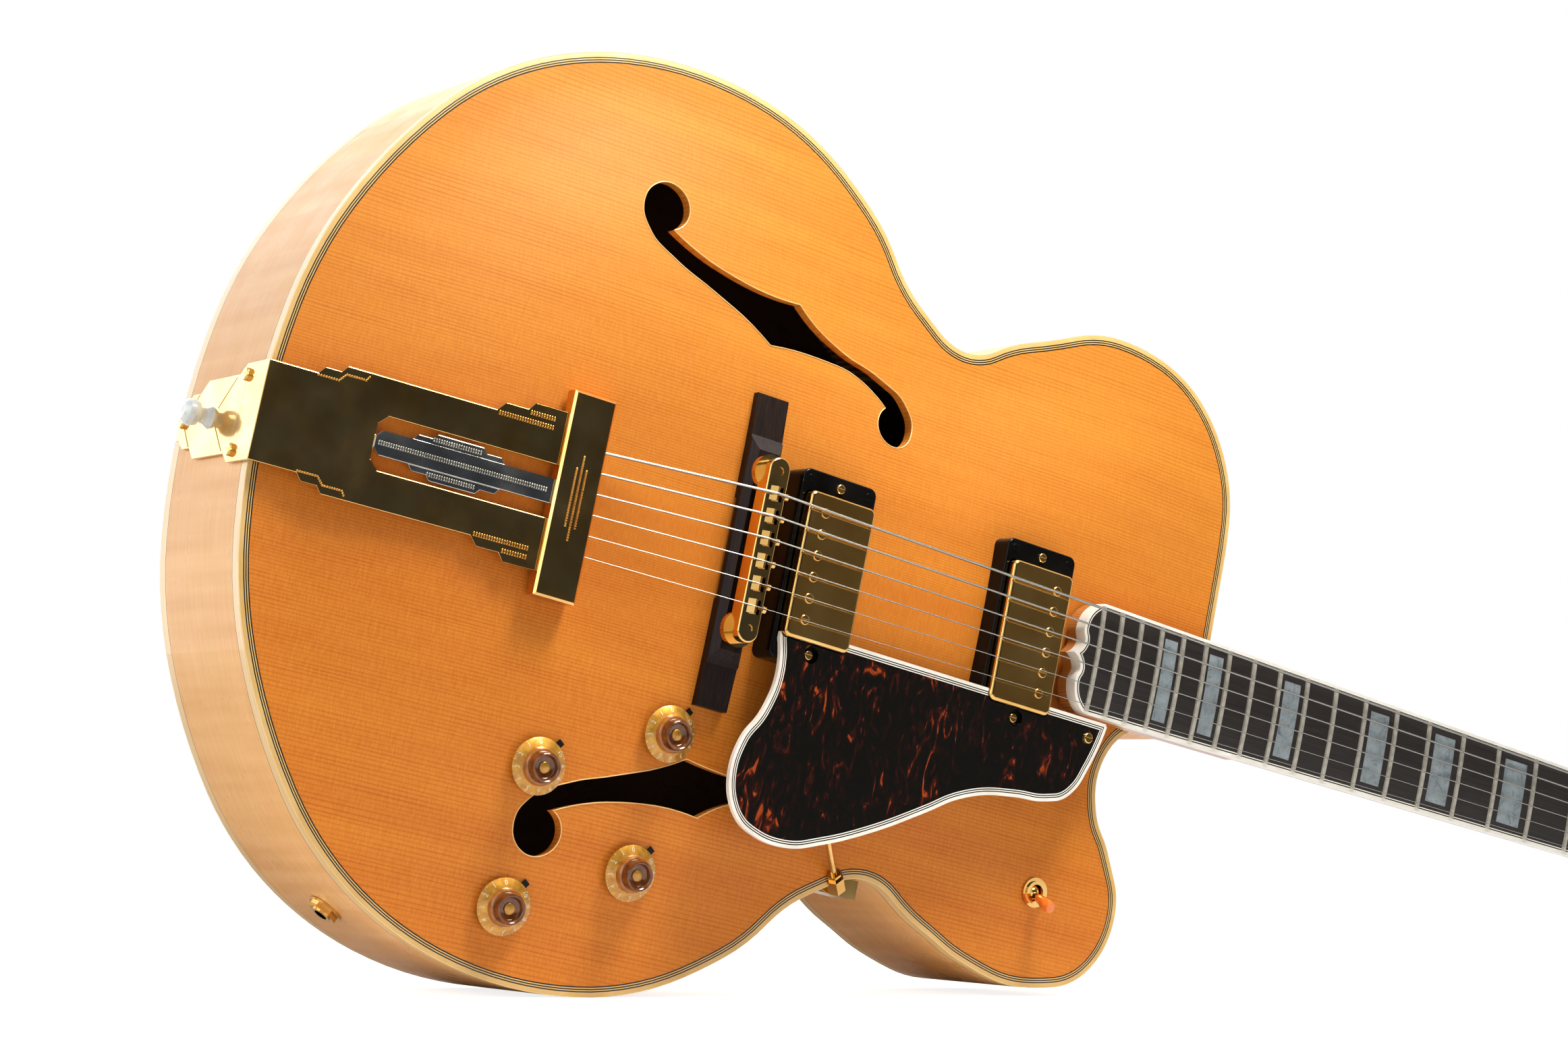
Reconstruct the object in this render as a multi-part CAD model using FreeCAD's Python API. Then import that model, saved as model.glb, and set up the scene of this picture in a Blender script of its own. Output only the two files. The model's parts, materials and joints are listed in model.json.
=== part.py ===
"""Archtop guitar with a rounded cutaway, built as separate pieces.

Local axes of the guitar: X runs from the bridge to the headstock, Y to the bass side, Z out of the
top. The bridge line is x = 0 and the top's edge is z = 0. At the end every piece is turned into the
standing pose: the guitar rests on its treble side, on the lower bout and the last treble button.
"""
import FreeCAD
import Part
import math
import os

V = FreeCAD.Vector
Z_UP = V(0, 0, 1)

# Scale and neck
SCALE = 647.7               # nut to bridge
BODY_JOIN = 288.5           # bridge to the end of the body, at the fourteenth fret
NECK_ANGLE = 3.0            # degrees
FRET_HEIGHT = 35.0          # fret plane above the top's edge, at the bridge
FRET_COUNT = 20
FRET_WIDE = 2.2
FRET_TALL = 1.1
BOARD_THICK = 7.0
BOARD_RADIUS = 305.0
BOARD_NUT_WIDE = 43.0
BOARD_END_WIDE = 55.4       # at the last fret
BOARD_END_X = 190.0         # tip of the pointed end
BOARD_BINDING = 1.6
BOARD_LINE = 0.5            # white line inlaid inside the binding
BOARD_LINE_GAP = 0.6
BINDING_DEEP = 1.2
INLAY_FRETS = (1, 3, 5, 7, 9, 12, 15, 17)
INLAY_MARGIN = 6.5          # wood left beside each block
INLAY_SHARE = 0.58          # block length within its fret space
INLAY_THICK = 1.2
RISER_THICK = 6.5           # wood under the board's free end
NUT_LONG = 5.0
NUT_TALL = 1.6              # above the fret plane
NECK_NUT_DEEP = 15.0
NECK_HEEL_DEEP = 19.0
HEEL_CAP_THICK = 2.0

# Body
BODY_LENGTH = 528.5
LOWER_BOUT = 432.0
WAIST = 261.0
UPPER_BOUT = 327.0
HORN_DEEP = 161.5           # centreline to the lowest point of the horn
HORN_TIP_X = 259.8
CUTAWAY_X = 234.4
HEEL_SIDE = 20.0            # treble side of the neck joint
RIM_DEPTH = 86.0
RIM_THICK = 3.0
TOP_ARCH = 15.0
BACK_ARCH = 17.0
ARCH_RUN = 116.0            # distance from the edge over which a plate rises
BINDING_WIDE = 2.3
BINDING_TALL = 6.0
PLATE_SEAT = 0.05           # play round a plate's edge
PLATE_THICK = BINDING_TALL - PLATE_SEAT
DARK_LINE = 0.5
PALE_LINE = 0.6
LINING_WIDE = 8.0
LINING_TALL = 14.0
BLOCK_LONG = 46.0
TAIL_BLOCK_LONG = 22.0
TAIL_BLOCK_WIDE = 84.0
TONE_BAR_Y = 44.0
TONE_BAR_WIDE = 7.0
TONE_BAR_TALL = 13.0

# Headstock and tuners
HEAD_ANGLE = 14.0
HEAD_LENGTH = 172.0
HEAD_THICK = 14.5
HEAD_WIDE_LOW = 74.0
HEAD_WIDE_HIGH = 86.0
OVERLAY_THICK = 1.6
TUNER_FIRST = 44.0          # nut to the first post, along the headstock
TUNER_STEP = 43.0
TUNER_Y = 26.0
POST_RADIUS = 3.0
POST_ABOVE = 17.0           # post above the headstock's face
BUSH_RADIUS = 5.0
CASE_LONG = 21.0
CASE_WIDE = 15.0
CASE_TALL = 9.5
WORM_RADIUS = 2.0
GEAR_RADIUS = 4.4
GEAR_THICK = 3.0
WORM_OFFSET = 6.6           # worm axis to post axis
WORM_SHAFT_RADIUS = 1.6
BUTTON_LONG = 16.0
BUTTON_WIDE = 12.0
BUTTON_THICK = 8.0
BUTTON_NECK = 12.0          # case to button
RUNNING_FIT = 0.05

# Bridge
BASE_LONG = 148.0
BASE_WIDE = 17.0
BASE_RIDGE_WIDE = 11.0
BASE_FOOT_TALL = 5.5
BASE_RIDGE_TALL = 9.0       # above the top at the centre
BASE_WING_LONG = 20.0
POST_SPACING = 74.0
BRIDGE_POST_RADIUS = 2.0
WHEEL_RADIUS = 8.4
WHEEL_THICK = 3.2
WHEEL_GAP = 1.0             # wheel above the base's ridge
BAR_LONG = 87.0
BAR_WIDE = 11.0
BAR_TALL = 8.5
SADDLE_WIDE = 6.6
SADDLE_LONG = 6.0
STRING_SPREAD_BRIDGE = 53.0
STRING_SPREAD_NUT = 36.0
STRING_SPREAD_TAIL = 48.0
STRING_HEIGHT = 3.6         # string centre above the fret plane at the bridge
STRING_NUT_HEIGHT = 0.9
STRING_RADII = (0.66, 0.53, 0.41, 0.31, 0.21, 0.16)
STRING_CLEAR = 0.08
SADDLE_SHOULDER = 0.1       # saddle's ridge above the string's centre

# Tailpiece
TAIL_PLATE = 1.6
TAIL_BEND_Z = 5.0
TAIL_BEND_HALF = 22.4
TAIL_NECK_HALF = 25.6
TAIL_ARM_HALF = 28.8
TAIL_STEP_HALF = 32.8
TAIL_WIDE_HALF = 36.4
TAIL_SLOT_HALF = 12.2
TAIL_SLOT_START = 0.379     # bend to the slot, as a share of the plate
TAIL_STEPS = ((0.153, 0.171), (0.226, 0.244), (0.759, 0.784), (0.864, 0.883))
TAIL_LOW_Z = -82.0
TAIL_GAP = 0.2
CROSSBAR_X = -104.0
CROSSBAR_LONG = 94.0
CROSSBAR_WIDE = 21.5
CROSSBAR_TALL = 7.5
CROSSBAR_Z = 24.0
STRING_HOLE_CLEAR = 0.15
STRING_HOLE_DEEP = 9.0
INSERT_HALVES = (5.6, 8.2, 10.6)
INSERT_RAIL = 0.45          # raised middle bar of the insert
INSERT_AT = (0.20, 0.305, 0.587, 0.693)

# Pickups
PICKUP_X = (39.0, 162.7)
PICKUP_TOP = (0.9, -0.3)    # cover above the fret plane
COVER_LONG = 69.2
COVER_WIDE = 37.4
COVER_TALL = 20.0
COVER_CORNER = 3.2
COVER_EDGE = 1.6
RING_LONG = 90.0
RING_WIDE = 42.5
RING_TAPER = 1.5
RING_TOP = -4.9             # ring's face from the fret plane
RING_CLEAR = 0.6
POLE_RADIUS = 2.4
POLE_OFFSET = 9.4
POLE_STAND = 0.6
POLE_PITCH = 10.1
POCKET_CLEAR = 1.2

# Finger rest
REST_TOP = -2.1             # from the fret plane
REST_THICK = 2.2
REST_PLIES = (1.6, 0.5, 0.5, 0.5, 0.5)
REST_CLEAR = 0.4
ROD_RADIUS = 1.6

# Controls
KNOBS = ((-78.8, -118.7), (-17.9, -89.8), (-77.0, -181.8), (-19.4, -154.2))
KNOB_RADIUS = 13.0
KNOB_TALL = 10.0
KNOB_GAP = 2.2              # skirt above the top
POT_RADIUS = 12.0
POT_TALL = 8.0
SHAFT_RADIUS = 3.0
BUSHING_RADIUS = 4.6
SWITCH_XY = (206.7, -115.7)
SWITCH_RADIUS = 7.3
LEVER_LEAN = 20.0           # degrees, at the end of its throw
JACK_XY = (-138.0, -197.5)
JACK_Z = -44.0
JACK_BORE = 3.2
JACK_LONG = 14.0
STRAP_Z = -47.0
STRAP_RADIUS = 6.2
HOLE_CLEAR = 0.15


# Plane curves
def unit(x, y):
    size = math.hypot(x, y)
    return (x / size, y / size)


def circle_tangent(a, b, c):
    """Direction at b of the circle through a, b and c."""
    ax, ay = a[0] - b[0], a[1] - b[1]
    cx, cy = c[0] - b[0], c[1] - b[1]
    la, lc = ax * ax + ay * ay, cx * cx + cy * cy
    return unit(cx / lc - ax / la, cy / lc - ay / la)


def mirrored(t, p, q):
    """Direction at the other end of the arc that leaves p along t and reaches q."""
    vx, vy = unit(q[0] - p[0], q[1] - p[1])
    d = 2 * (t[0] * vx + t[1] * vy)
    return (d * vx - t[0], d * vy - t[1])


def biarc_joint(p, t, q, u):
    """Point where the two arcs from p to q meet."""
    vx, vy = q[0] - p[0], q[1] - p[1]
    b = vx * (t[0] + u[0]) + vy * (t[1] + u[1])
    k = 2 * (1 - t[0] * u[0] - t[1] * u[1])
    v2 = vx * vx + vy * vy
    d = v2 / (2 * b) if k < 1e-9 else (math.sqrt(b * b + k * v2) - b) / k
    return ((p[0] + q[0] + d * (t[0] - u[0])) / 2, (p[1] + q[1] + d * (t[1] - u[1])) / 2)


def arc_edge(p, t, q):
    """Edge that leaves p along t and reaches q."""
    vx, vy = q[0] - p[0], q[1] - p[1]
    turn = math.atan2(t[0] * vy - t[1] * vx, t[0] * vx + t[1] * vy)
    if abs(turn) < 1e-5:
        return Part.LineSegment(V(*p, 0), V(*q, 0)).toShape()
    s = math.tan(turn / 2) / 2
    mid = V((p[0] + q[0]) / 2 + vy * s, (p[1] + q[1]) / 2 - vx * s, 0)
    return Part.Arc(V(*p, 0), mid, V(*q, 0)).toShape()


def smooth(points, start=None, end=None):
    """Tangent arcs through the points."""
    tangents = [None] * len(points)
    for i in range(1, len(points) - 1):
        tangents[i] = circle_tangent(*points[i - 1:i + 2])
    tangents[0] = start or mirrored(tangents[1], points[1], points[0])
    tangents[-1] = end or mirrored(tangents[-2], points[-2], points[-1])
    edges = []
    for p, q, t, u in zip(points, points[1:], tangents, tangents[1:]):
        joint = biarc_joint(p, t, q, u)
        edges.append(arc_edge(p, t, joint))
        edges.append(arc_edge(joint, mirrored(t, p, joint), q))
    return edges


def lines(points):
    ends = [V(*p, 0) for p in points]
    return [Part.LineSegment(a, b).toShape() for a, b in zip(ends, ends[1:])]


def prism(wire, z0, z1):
    face = Part.Face(wire)
    face.translate(V(0, 0, z0))
    return face.extrude(V(0, 0, z1 - z0))


def polygon(points, z0, z1):
    return prism(Part.Wire(lines(list(points) + [points[0]])), z0, z1)


def box(x0, x1, y0, y1, z0, z1):
    return Part.makeBox(x1 - x0, y1 - y0, z1 - z0, V(x0, y0, z0))


def disc(radius, z0, z1, x=0.0, y=0.0):
    return Part.makeCylinder(radius, z1 - z0, V(x, y, z0))


def hexagon(radius):
    corners = [math.radians(60 * k) for k in range(6)]
    return [(radius * math.cos(a), radius * math.sin(a)) for a in corners]


def fused(shapes):
    return shapes[0].multiFuse(shapes[1:]).removeSplitter() if len(shapes) > 1 else shapes[0]


def placed(shape, placement):
    out = shape.copy()
    out.Placement = placement.multiply(out.Placement)
    return out


def round_box(long_y, wide_x, z0, z1, corner, x=0.0):
    """Upright block with rounded corners, centred on (x, 0)."""
    block = box(x - wide_x / 2, x + wide_x / 2, -long_y / 2, long_y / 2, z0, z1)
    upright = [e for e in block.Edges if abs(e.tangentAt(e.FirstParameter).z) > 0.9]
    return block.makeFillet(corner, upright)


# Outline of the body
TAIL_X = BODY_JOIN - BODY_LENGTH
LOWER_HALF = LOWER_BOUT / 2
WAIST_NODE = (108.0, WAIST / 2)
LOWER_NODES = [(-221.5, 0.468 * LOWER_HALF), (-138.0, 0.914 * LOWER_HALF), (-63.0, LOWER_HALF),
               (3.0, 0.949 * LOWER_HALF), (43.5, 0.838 * LOWER_HALF), (82.0, 0.664 * LOWER_HALF),
               WAIST_NODE]
UPPER_HALF = UPPER_BOUT / 2
BASS_NODES = [(147.0, UPPER_HALF - 17.5), (200.0, UPPER_HALF), (254.0, UPPER_HALF - 14.5),
              (BODY_JOIN - 7.0, UPPER_HALF - 48.5), (BODY_JOIN, UPPER_HALF - 95.5)]
HORN_NODES = [(147.0, 15.5 - HORN_DEEP), (172.0, 5.5 - HORN_DEEP), (212.0, -HORN_DEEP),
              (HORN_TIP_X - 11.8, 14.0 - HORN_DEEP), (HORN_TIP_X, 48.5 - HORN_DEEP),
              (HORN_TIP_X - 11.1, 74.5 - HORN_DEEP), (CUTAWAY_X + 3.6, 90.5 - HORN_DEEP),
              (CUTAWAY_X, -HEEL_SIDE - 30.0), (CUTAWAY_X + 10.6, -HEEL_SIDE - 8.5),
              (CUTAWAY_X + 35.6, -HEEL_SIDE)]


def body_wire():
    treble = [(x, -y) for x, y in LOWER_NODES] + HORN_NODES
    points = treble[::-1] + [(TAIL_X, 0.0)] + LOWER_NODES + BASS_NODES
    edges = smooth(points, start=(-1.0, 0.0), end=(0.0, -1.0))
    corner = (BODY_JOIN, -HEEL_SIDE)
    return Part.Wire(edges + lines([points[-1], corner, points[0]]))


BODY_WIRE = body_wire()
BODY_POINTS = [(p.x, p.y) for p in BODY_WIRE.discretize(260)]
PURFLING_WIDE = 3 * DARK_LINE + 2 * PALE_LINE
EDGE_WIDE = BINDING_WIDE + PURFLING_WIDE


def inset(d):
    return BODY_WIRE if d == 0 else BODY_WIRE.makeOffset2D(-d)


def slab(d, z0, z1):
    return prism(inset(d), z0, z1)


def ring(d0, d1, z0, z1):
    return slab(d0, z0, z1).cut(slab(d1, z0, z1))


# Arched plates
def edge_distance(x, y):
    """Smooth distance to the outline: the true distance near it, a rounded ridge inside."""
    total = 0.0
    for (ax, ay), (bx, by) in zip(BODY_POINTS, BODY_POINTS[1:]):
        length = math.hypot(bx - ax, by - ay)
        if length < 1e-6:
            continue
        dx, dy = (bx - ax) / length, (by - ay) / length
        s0 = (ax - x) * dx + (ay - y) * dy
        s1 = s0 + length
        h = max(abs((ax - x) * dy - (ay - y) * dx), 1e-2)
        total += (s1 / math.hypot(s1, h) - s0 / math.hypot(s0, h)) / (h * h)
    return math.sqrt(2 / total)


def rise(distance):
    """Share of the arch's height at a distance from the edge."""
    return math.sin(math.pi / 2 * min(distance / ARCH_RUN, 1.0)) ** 2


def top_z(x, y):
    return TOP_ARCH * rise(edge_distance(x, y))


def on_top(x, y):
    """Placement on the top's surface, with Z along its normal."""
    step = 1.0
    slope_x = (top_z(x + step, y) - top_z(x - step, y)) / (2 * step)
    slope_y = (top_z(x, y + step) - top_z(x, y - step)) / (2 * step)
    turn = FreeCAD.Rotation(Z_UP, V(-slope_x, -slope_y, 1))
    return FreeCAD.Placement(V(x, y, top_z(x, y)), turn)


GRID_X = 34
GRID_Y = 28
GRID_MARGIN = 12.0


def arch_faces():
    x0, x1 = TAIL_X - GRID_MARGIN, BODY_JOIN + GRID_MARGIN
    y0, y1 = -LOWER_HALF - GRID_MARGIN, LOWER_HALF + GRID_MARGIN
    top, back = [], []
    for i in range(GRID_X):
        x = x0 + (x1 - x0) * i / (GRID_X - 1)
        ys = [y0 + (y1 - y0) * j / (GRID_Y - 1) for j in range(GRID_Y)]
        shares = [rise(edge_distance(x, y)) for y in ys]
        top.append([V(x, y, TOP_ARCH * s) for y, s in zip(ys, shares)])
        back.append([V(x, y, -RIM_DEPTH - BACK_ARCH * s) for y, s in zip(ys, shares)])
    faces = []
    for grid in (top, back):
        surface = Part.BSplineSurface()
        surface.interpolate(grid)
        faces.append(surface.toShape())
    return faces


TOP_FACE, BACK_FACE = arch_faces()
DEEP = 60.0
BELOW_TOP = TOP_FACE.extrude(V(0, 0, -DEEP))

# Neck frame: X along the strings, Z out of the frets, origin on the fret plane at the bridge
NECK = FreeCAD.Placement(V(0, 0, FRET_HEIGHT), FreeCAD.Rotation(V(0, 1, 0), NECK_ANGLE))
BOARD_TOP = -FRET_TALL
BOARD_LOW = BOARD_TOP - BOARD_THICK
FRET_X = [SCALE * 2 ** (-n / 12) for n in range(FRET_COUNT + 1)]
LAST_FRET = FRET_X[-1]
HEAD = NECK.multiply(FreeCAD.Placement(V(SCALE + NUT_LONG, 0, BOARD_LOW + OVERLAY_THICK),
                                       FreeCAD.Rotation(V(0, 1, 0), HEAD_ANGLE)))


def board_half(x):
    share = (SCALE - x) / (SCALE - LAST_FRET)
    return (BOARD_NUT_WIDE + (BOARD_END_WIDE - BOARD_NUT_WIDE) * share) / 2


def board_wire(d):
    """Plan of the fingerboard, inset by d, running past the nut."""
    far = SCALE + 20
    side = LAST_FRET + 2.0
    half = board_half(side)
    along = unit(side - far, half - board_half(far))
    end = [(side, half), (BOARD_END_X + 6.8, half - 5.6), (BOARD_END_X + 3.8, half / 2 - 0.6),
           (BOARD_END_X + 5.2, 5.6), (BOARD_END_X, 0.0)]
    bass = smooth(end, start=along)
    other = [(x, -y) for x, y in end[::-1]]
    treble = smooth(other, end=(-along[0], along[1]))
    tail = lines([other[-1], (far, -board_half(far)), (far, board_half(far)), end[0]])
    wire = Part.Wire(bass + treble + tail)
    return wire if d == 0 else wire.makeOffset2D(-d)


def board_block(d, z0, z1):
    return prism(board_wire(d), z0, z1).common(box(0, SCALE, -60, 60, z0 - 1, z1 + 1))


def crowned(shape, lift=0.0):
    """The part of a shape that lies under the board's rounded top, raised by lift."""
    radius = BOARD_RADIUS + lift
    axis_z = BOARD_TOP - BOARD_RADIUS
    long = Part.makeCylinder(radius, SCALE + 40, V(-20, 0, axis_z), V(1, 0, 0))
    return shape.common(long)


def string_y(i, spread):
    return spread / 2 - spread * i / 5


# Body pieces
def f_hole(side):
    """Sound hole: four smooth runs between its two hooks and two nicks."""
    runs = [[(-64.6, 136.0), (-47.5, 128.8), (-30.0, 124.6), (-10.0, 122.2), (9.8, 122.9)],
            [(9.8, 122.9), (21.1, 115.1), (37.4, 108.4), (63.3, 102.1), (78.3, 95.1), (84.4, 84.0),
             (80.0, 73.2), (71.4, 71.7), (63.7, 79.8), (67.3, 89.0)],
            [(67.3, 89.0), (47.0, 99.0), (23.3, 100.6), (-4.0, 98.4)],
            [(-4.0, 98.4), (-16.2, 105.1), (-37.7, 113.7), (-61.3, 122.6), (-76.0, 131.3),
             (-82.0, 142.4), (-78.6, 153.5), (-67.2, 157.6), (-57.7, 148.5), (-64.6, 136.0)]]
    edges = []
    for run in runs:
        edges += smooth([(x, side * y) for x, y in run])
    return prism(Part.Wire(edges), -DEEP, DEEP)


def pickup_pocket(i):
    x = PICKUP_X[i]
    wide = COVER_WIDE / 2 + POCKET_CLEAR
    long = COVER_LONG / 2 + POCKET_CLEAR
    return placed(box(x - wide, x + wide, -long, long, -DEEP, 0), NECK)


def control_hole(xy, radius):
    return placed(disc(radius, -2 * PLATE_THICK, 2 * PLATE_THICK), on_top(*xy))


RING_SCREW_INSET = 4.5
RING_SCREW_RADIUS = 1.1
HEIGHT_SCREW_Y = COVER_LONG / 2 + 5.0
HEIGHT_SCREW_RADIUS = 1.4


def ring_screw_places():
    dx = RING_WIDE / 2 - RING_SCREW_INSET
    dy = RING_LONG / 2 - RING_SCREW_INSET
    return [(x + sx * dx, sy * dy) for x in PICKUP_X for sx in (-1, 1) for sy in (-1, 1)]


def height_screw_places():
    return [(x, s * HEIGHT_SCREW_Y) for x in PICKUP_X for s in (-1, 1)]


def screw(head_radius, head_tall, shank_radius, shank_long):
    """Slotted screw, head on z = 0, shank below."""
    head = disc(head_radius, 0, head_tall)
    head = head.makeFillet(head_tall * 0.45, [head.Edges[0]])
    half_slot = head_radius / 7
    slot = box(-head_radius, head_radius, -half_slot, half_slot, head_tall * 0.55, head_tall * 2)
    return head.fuse(disc(shank_radius, -shank_long, 0)).cut(slot)


def drill(radius, long):
    return disc(radius + HOLE_CLEAR, -long - 0.5, 0.5)


def neck_spots(places, z):
    return [NECK.multiply(FreeCAD.Placement(V(x, y, z), FreeCAD.Rotation())) for x, y in places]


RING_SCREW_LONG = 24.0
RING_SPOTS = neck_spots(ring_screw_places(), RING_TOP)
HEIGHT_SPOTS = neck_spots(height_screw_places(), RING_TOP)
HEIGHT_SCREW_LONG = 6.0
TAIL_FACE_X = TAIL_X - TAIL_GAP - TAIL_PLATE
TAIL_TURN = FreeCAD.Rotation(Z_UP, V(-1, 0, 0))
TAIL_SPOTS = [FreeCAD.Placement(V(TAIL_FACE_X, y, z), TAIL_TURN)
              for y, z in ((17.0, -15.0), (-17.0, -15.0), (0.0, -76.0))]
STRAP_SPOT = FreeCAD.Placement(V(TAIL_FACE_X, 0, STRAP_Z), TAIL_TURN)
TAIL_SCREW_LONG = 16.0
TAIL_SCREW_RADIUS = 1.6
STRAP_SHANK = 2.2
STRAP_SHANK_LONG = 20.0


def tail_holes():
    holes = [placed(drill(TAIL_SCREW_RADIUS, TAIL_SCREW_LONG), spot) for spot in TAIL_SPOTS]
    return holes + [placed(drill(STRAP_SHANK, STRAP_SHANK_LONG), STRAP_SPOT)]


def rim_spot(x, y, z):
    """Placement on the rim's outside nearest to (x, y), with Z pointing out."""
    distance, pairs, _ = BODY_WIRE.distToShape(Part.Vertex(x, y, 0))
    foot = pairs[0][0]
    near = [(math.hypot(p.x - foot.x, p.y - foot.y), p.x, p.y) for p in BODY_WIRE.discretize(3000)]
    near.sort()
    tx, ty = unit(near[1][1] - near[0][1], near[1][2] - near[0][2])
    out = V(ty, -tx, 0)
    if out.x * foot.x + out.y * foot.y < 0:
        out = -out
    return FreeCAD.Placement(V(foot.x, foot.y, z), FreeCAD.Rotation(Z_UP, out))


JACK_SPOT = rim_spot(*JACK_XY, JACK_Z)
JACK_THREAD = 4.7
BLOCK_X0 = BODY_JOIN - RIM_THICK - BLOCK_LONG
BLOCK_LOW = -RIM_DEPTH + BINDING_TALL


def head_block():
    return box(BLOCK_X0, BODY_JOIN - RIM_THICK, -HEEL_SIDE + RIM_THICK, 42, BLOCK_LOW, -BINDING_TALL) \
        .common(slab(RIM_THICK, BLOCK_LOW, -BINDING_TALL))


def tail_block():
    block = box(TAIL_X, TAIL_X + RIM_THICK + TAIL_BLOCK_LONG, -TAIL_BLOCK_WIDE / 2, TAIL_BLOCK_WIDE / 2,
                BLOCK_LOW, -BINDING_TALL)
    return block.common(slab(RIM_THICK, BLOCK_LOW, -BINDING_TALL)).cut(Part.makeCompound(tail_holes()))


def body_pieces():
    plate = TOP_FACE.extrude(V(0, 0, -PLATE_THICK)).common(slab(EDGE_WIDE + PLATE_SEAT, -DEEP, DEEP))
    holes = [f_hole(1), f_hole(-1), pickup_pocket(0), pickup_pocket(1)]
    holes += [control_hole(xy, BUSHING_RADIUS + HOLE_CLEAR) for xy in KNOBS]
    holes.append(control_hole(SWITCH_XY, SWITCH_BUSH + HOLE_CLEAR))
    holes += [placed(drill(RING_SCREW_RADIUS, RING_SCREW_LONG), spot) for spot in RING_SPOTS]
    top = plate.cut(Part.makeCompound(holes))
    back = BACK_FACE.extrude(V(0, 0, PLATE_THICK)).common(slab(BINDING_WIDE + PLATE_SEAT, -RIM_DEPTH - DEEP, 0))
    rim = ring(0, RIM_THICK, -RIM_DEPTH + BINDING_TALL, -BINDING_TALL)
    jack_hole = placed(disc(JACK_THREAD + HOLE_CLEAR, -20, 20), JACK_SPOT)
    rim = rim.cut(Part.makeCompound(tail_holes() + [jack_hole]))
    head, tail = head_block(), tail_block()
    blocks = Part.makeCompound([head, tail])
    low = -RIM_DEPTH + BINDING_TALL
    upper = ring(RIM_THICK, RIM_THICK + LINING_WIDE, -BINDING_TALL - LINING_TALL, -BINDING_TALL).cut(blocks)
    lower = ring(RIM_THICK, RIM_THICK + LINING_WIDE, low, low + LINING_TALL).cut(blocks)
    strips = [strip for strip in upper.Solids + lower.Solids if strip.Volume > 1000.0]
    cream = [ring(0, BINDING_WIDE, -BINDING_TALL, 0)]
    black = []
    start = BINDING_WIDE
    for i in range(3):
        black.append(ring(start, start + DARK_LINE, -BINDING_TALL, 0))
        start += DARK_LINE
        if i < 2:
            cream.append(ring(start, start + PALE_LINE, -BINDING_TALL, 0))
            start += PALE_LINE
    bars = TOP_FACE.extrude(V(0, 0, -TONE_BAR_TALL))
    bars.translate(V(0, 0, -PLATE_THICK))
    half = TONE_BAR_WIDE / 2
    bar_boxes = [box(-165, 195, y - half, y + half, -DEEP, DEEP) for y in (TONE_BAR_Y, -TONE_BAR_Y)]
    ring_drills = [placed(drill(RING_SCREW_RADIUS, RING_SCREW_LONG), spot) for spot in RING_SPOTS]
    tone_bars = [bars.common(b).cut(Part.makeCompound(ring_drills)) for b in bar_boxes]
    return {"top_plate": top, "back_plate": back, "rim": rim, "end_blocks": blocks,
            "linings": Part.makeCompound(strips), "tone_bars": Part.makeCompound(tone_bars),
            "top_binding": Part.makeCompound(cream), "top_purfling": Part.makeCompound(black),
            "back_binding": ring(0, BINDING_WIDE, -RIM_DEPTH, -RIM_DEPTH + BINDING_TALL)}


# Neck pieces
def neck_section(x, half, deep):
    """Flat top with a rounded back, across the neck."""
    top = Part.LineSegment(V(x, -half, BOARD_LOW), V(x, half, BOARD_LOW)).toShape()
    bow = Part.BSplineCurve()
    points = []
    for k in range(9):
        a = math.pi * k / 8
        points.append(V(x, half * math.cos(a), BOARD_LOW - deep * math.sin(a)))
    bow.interpolate(points)
    return Part.Wire([bow.toShape(), top])


def heel_section(z, half, long):
    """Rounded nose in plan, flat against the body."""
    x0 = BODY_JOIN - 6.0
    bow = Part.BSplineCurve()
    points = []
    for k in range(9):
        a = math.pi * (k / 8 - 0.5)
        points.append(V(x0 + (long + 6.0) * math.cos(a), half * math.sin(a), z))
    bow.interpolate(points)
    return Part.Wire([bow.toShape(), Part.LineSegment(points[-1], points[0]).toShape()])


def heel():
    """Heel of the neck, from the shaft down past the back."""
    under = NECK.multVec(V(BODY_JOIN, 0, BOARD_LOW)).z - NECK_HEEL_DEEP
    share = -under - RIM_DEPTH
    rows = ((0.0, HEEL_SIDE + 2, 80.0), (0.10, HEEL_SIDE, 50.0), (0.26, HEEL_SIDE - 1, 34.0),
            (0.48, HEEL_SIDE - 2.5, 26.0), (0.74, HEEL_SIDE - 4, 22.0), (1.06, HEEL_SIDE - 6, 19.0))
    start = under + 6.0
    rows = [(start + (share - 6.0) * s, half, long) for s, half, long in rows]
    return Part.makeLoft([heel_section(*row) for row in rows], True, False)


def head_wire():
    low, high = HEAD_WIDE_LOW / 2, HEAD_WIDE_HIGH / 2
    start = (-8.0, BOARD_NUT_WIDE / 2)
    side = [start, (10.0, BOARD_NUT_WIDE / 2 + 2.5), (36.0, low)]
    top = (HEAD_LENGTH - 20, high)
    flare = unit(top[0] - 36.0, high - low)
    bass = smooth(side, end=flare) + lines([side[-1], top])
    treble = lines([(top[0], -high), (36.0, -low)])
    treble += smooth([(x, -y) for x, y in side[::-1]], start=(-flare[0], flare[1]))
    ends = [V(HEAD_LENGTH - 20, high, 0), V(HEAD_LENGTH, 0, 0), V(HEAD_LENGTH - 20, -high, 0)]
    crown = Part.Arc(*ends).toShape()
    close = lines([(start[0], -start[1]), start])
    return Part.Wire(bass + [crown] + treble + close)


def tuner_spots():
    """Placement of each tuner on the headstock's face, bass side first, worm towards +Y."""
    spots = []
    for side in (1, -1):
        for k in range(3):
            turn = FreeCAD.Rotation(Z_UP, 0 if side > 0 else 180)
            place = FreeCAD.Placement(V(TUNER_FIRST + TUNER_STEP * k, side * TUNER_Y, 0), turn)
            spots.append(HEAD.multiply(place))
    return spots


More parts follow.
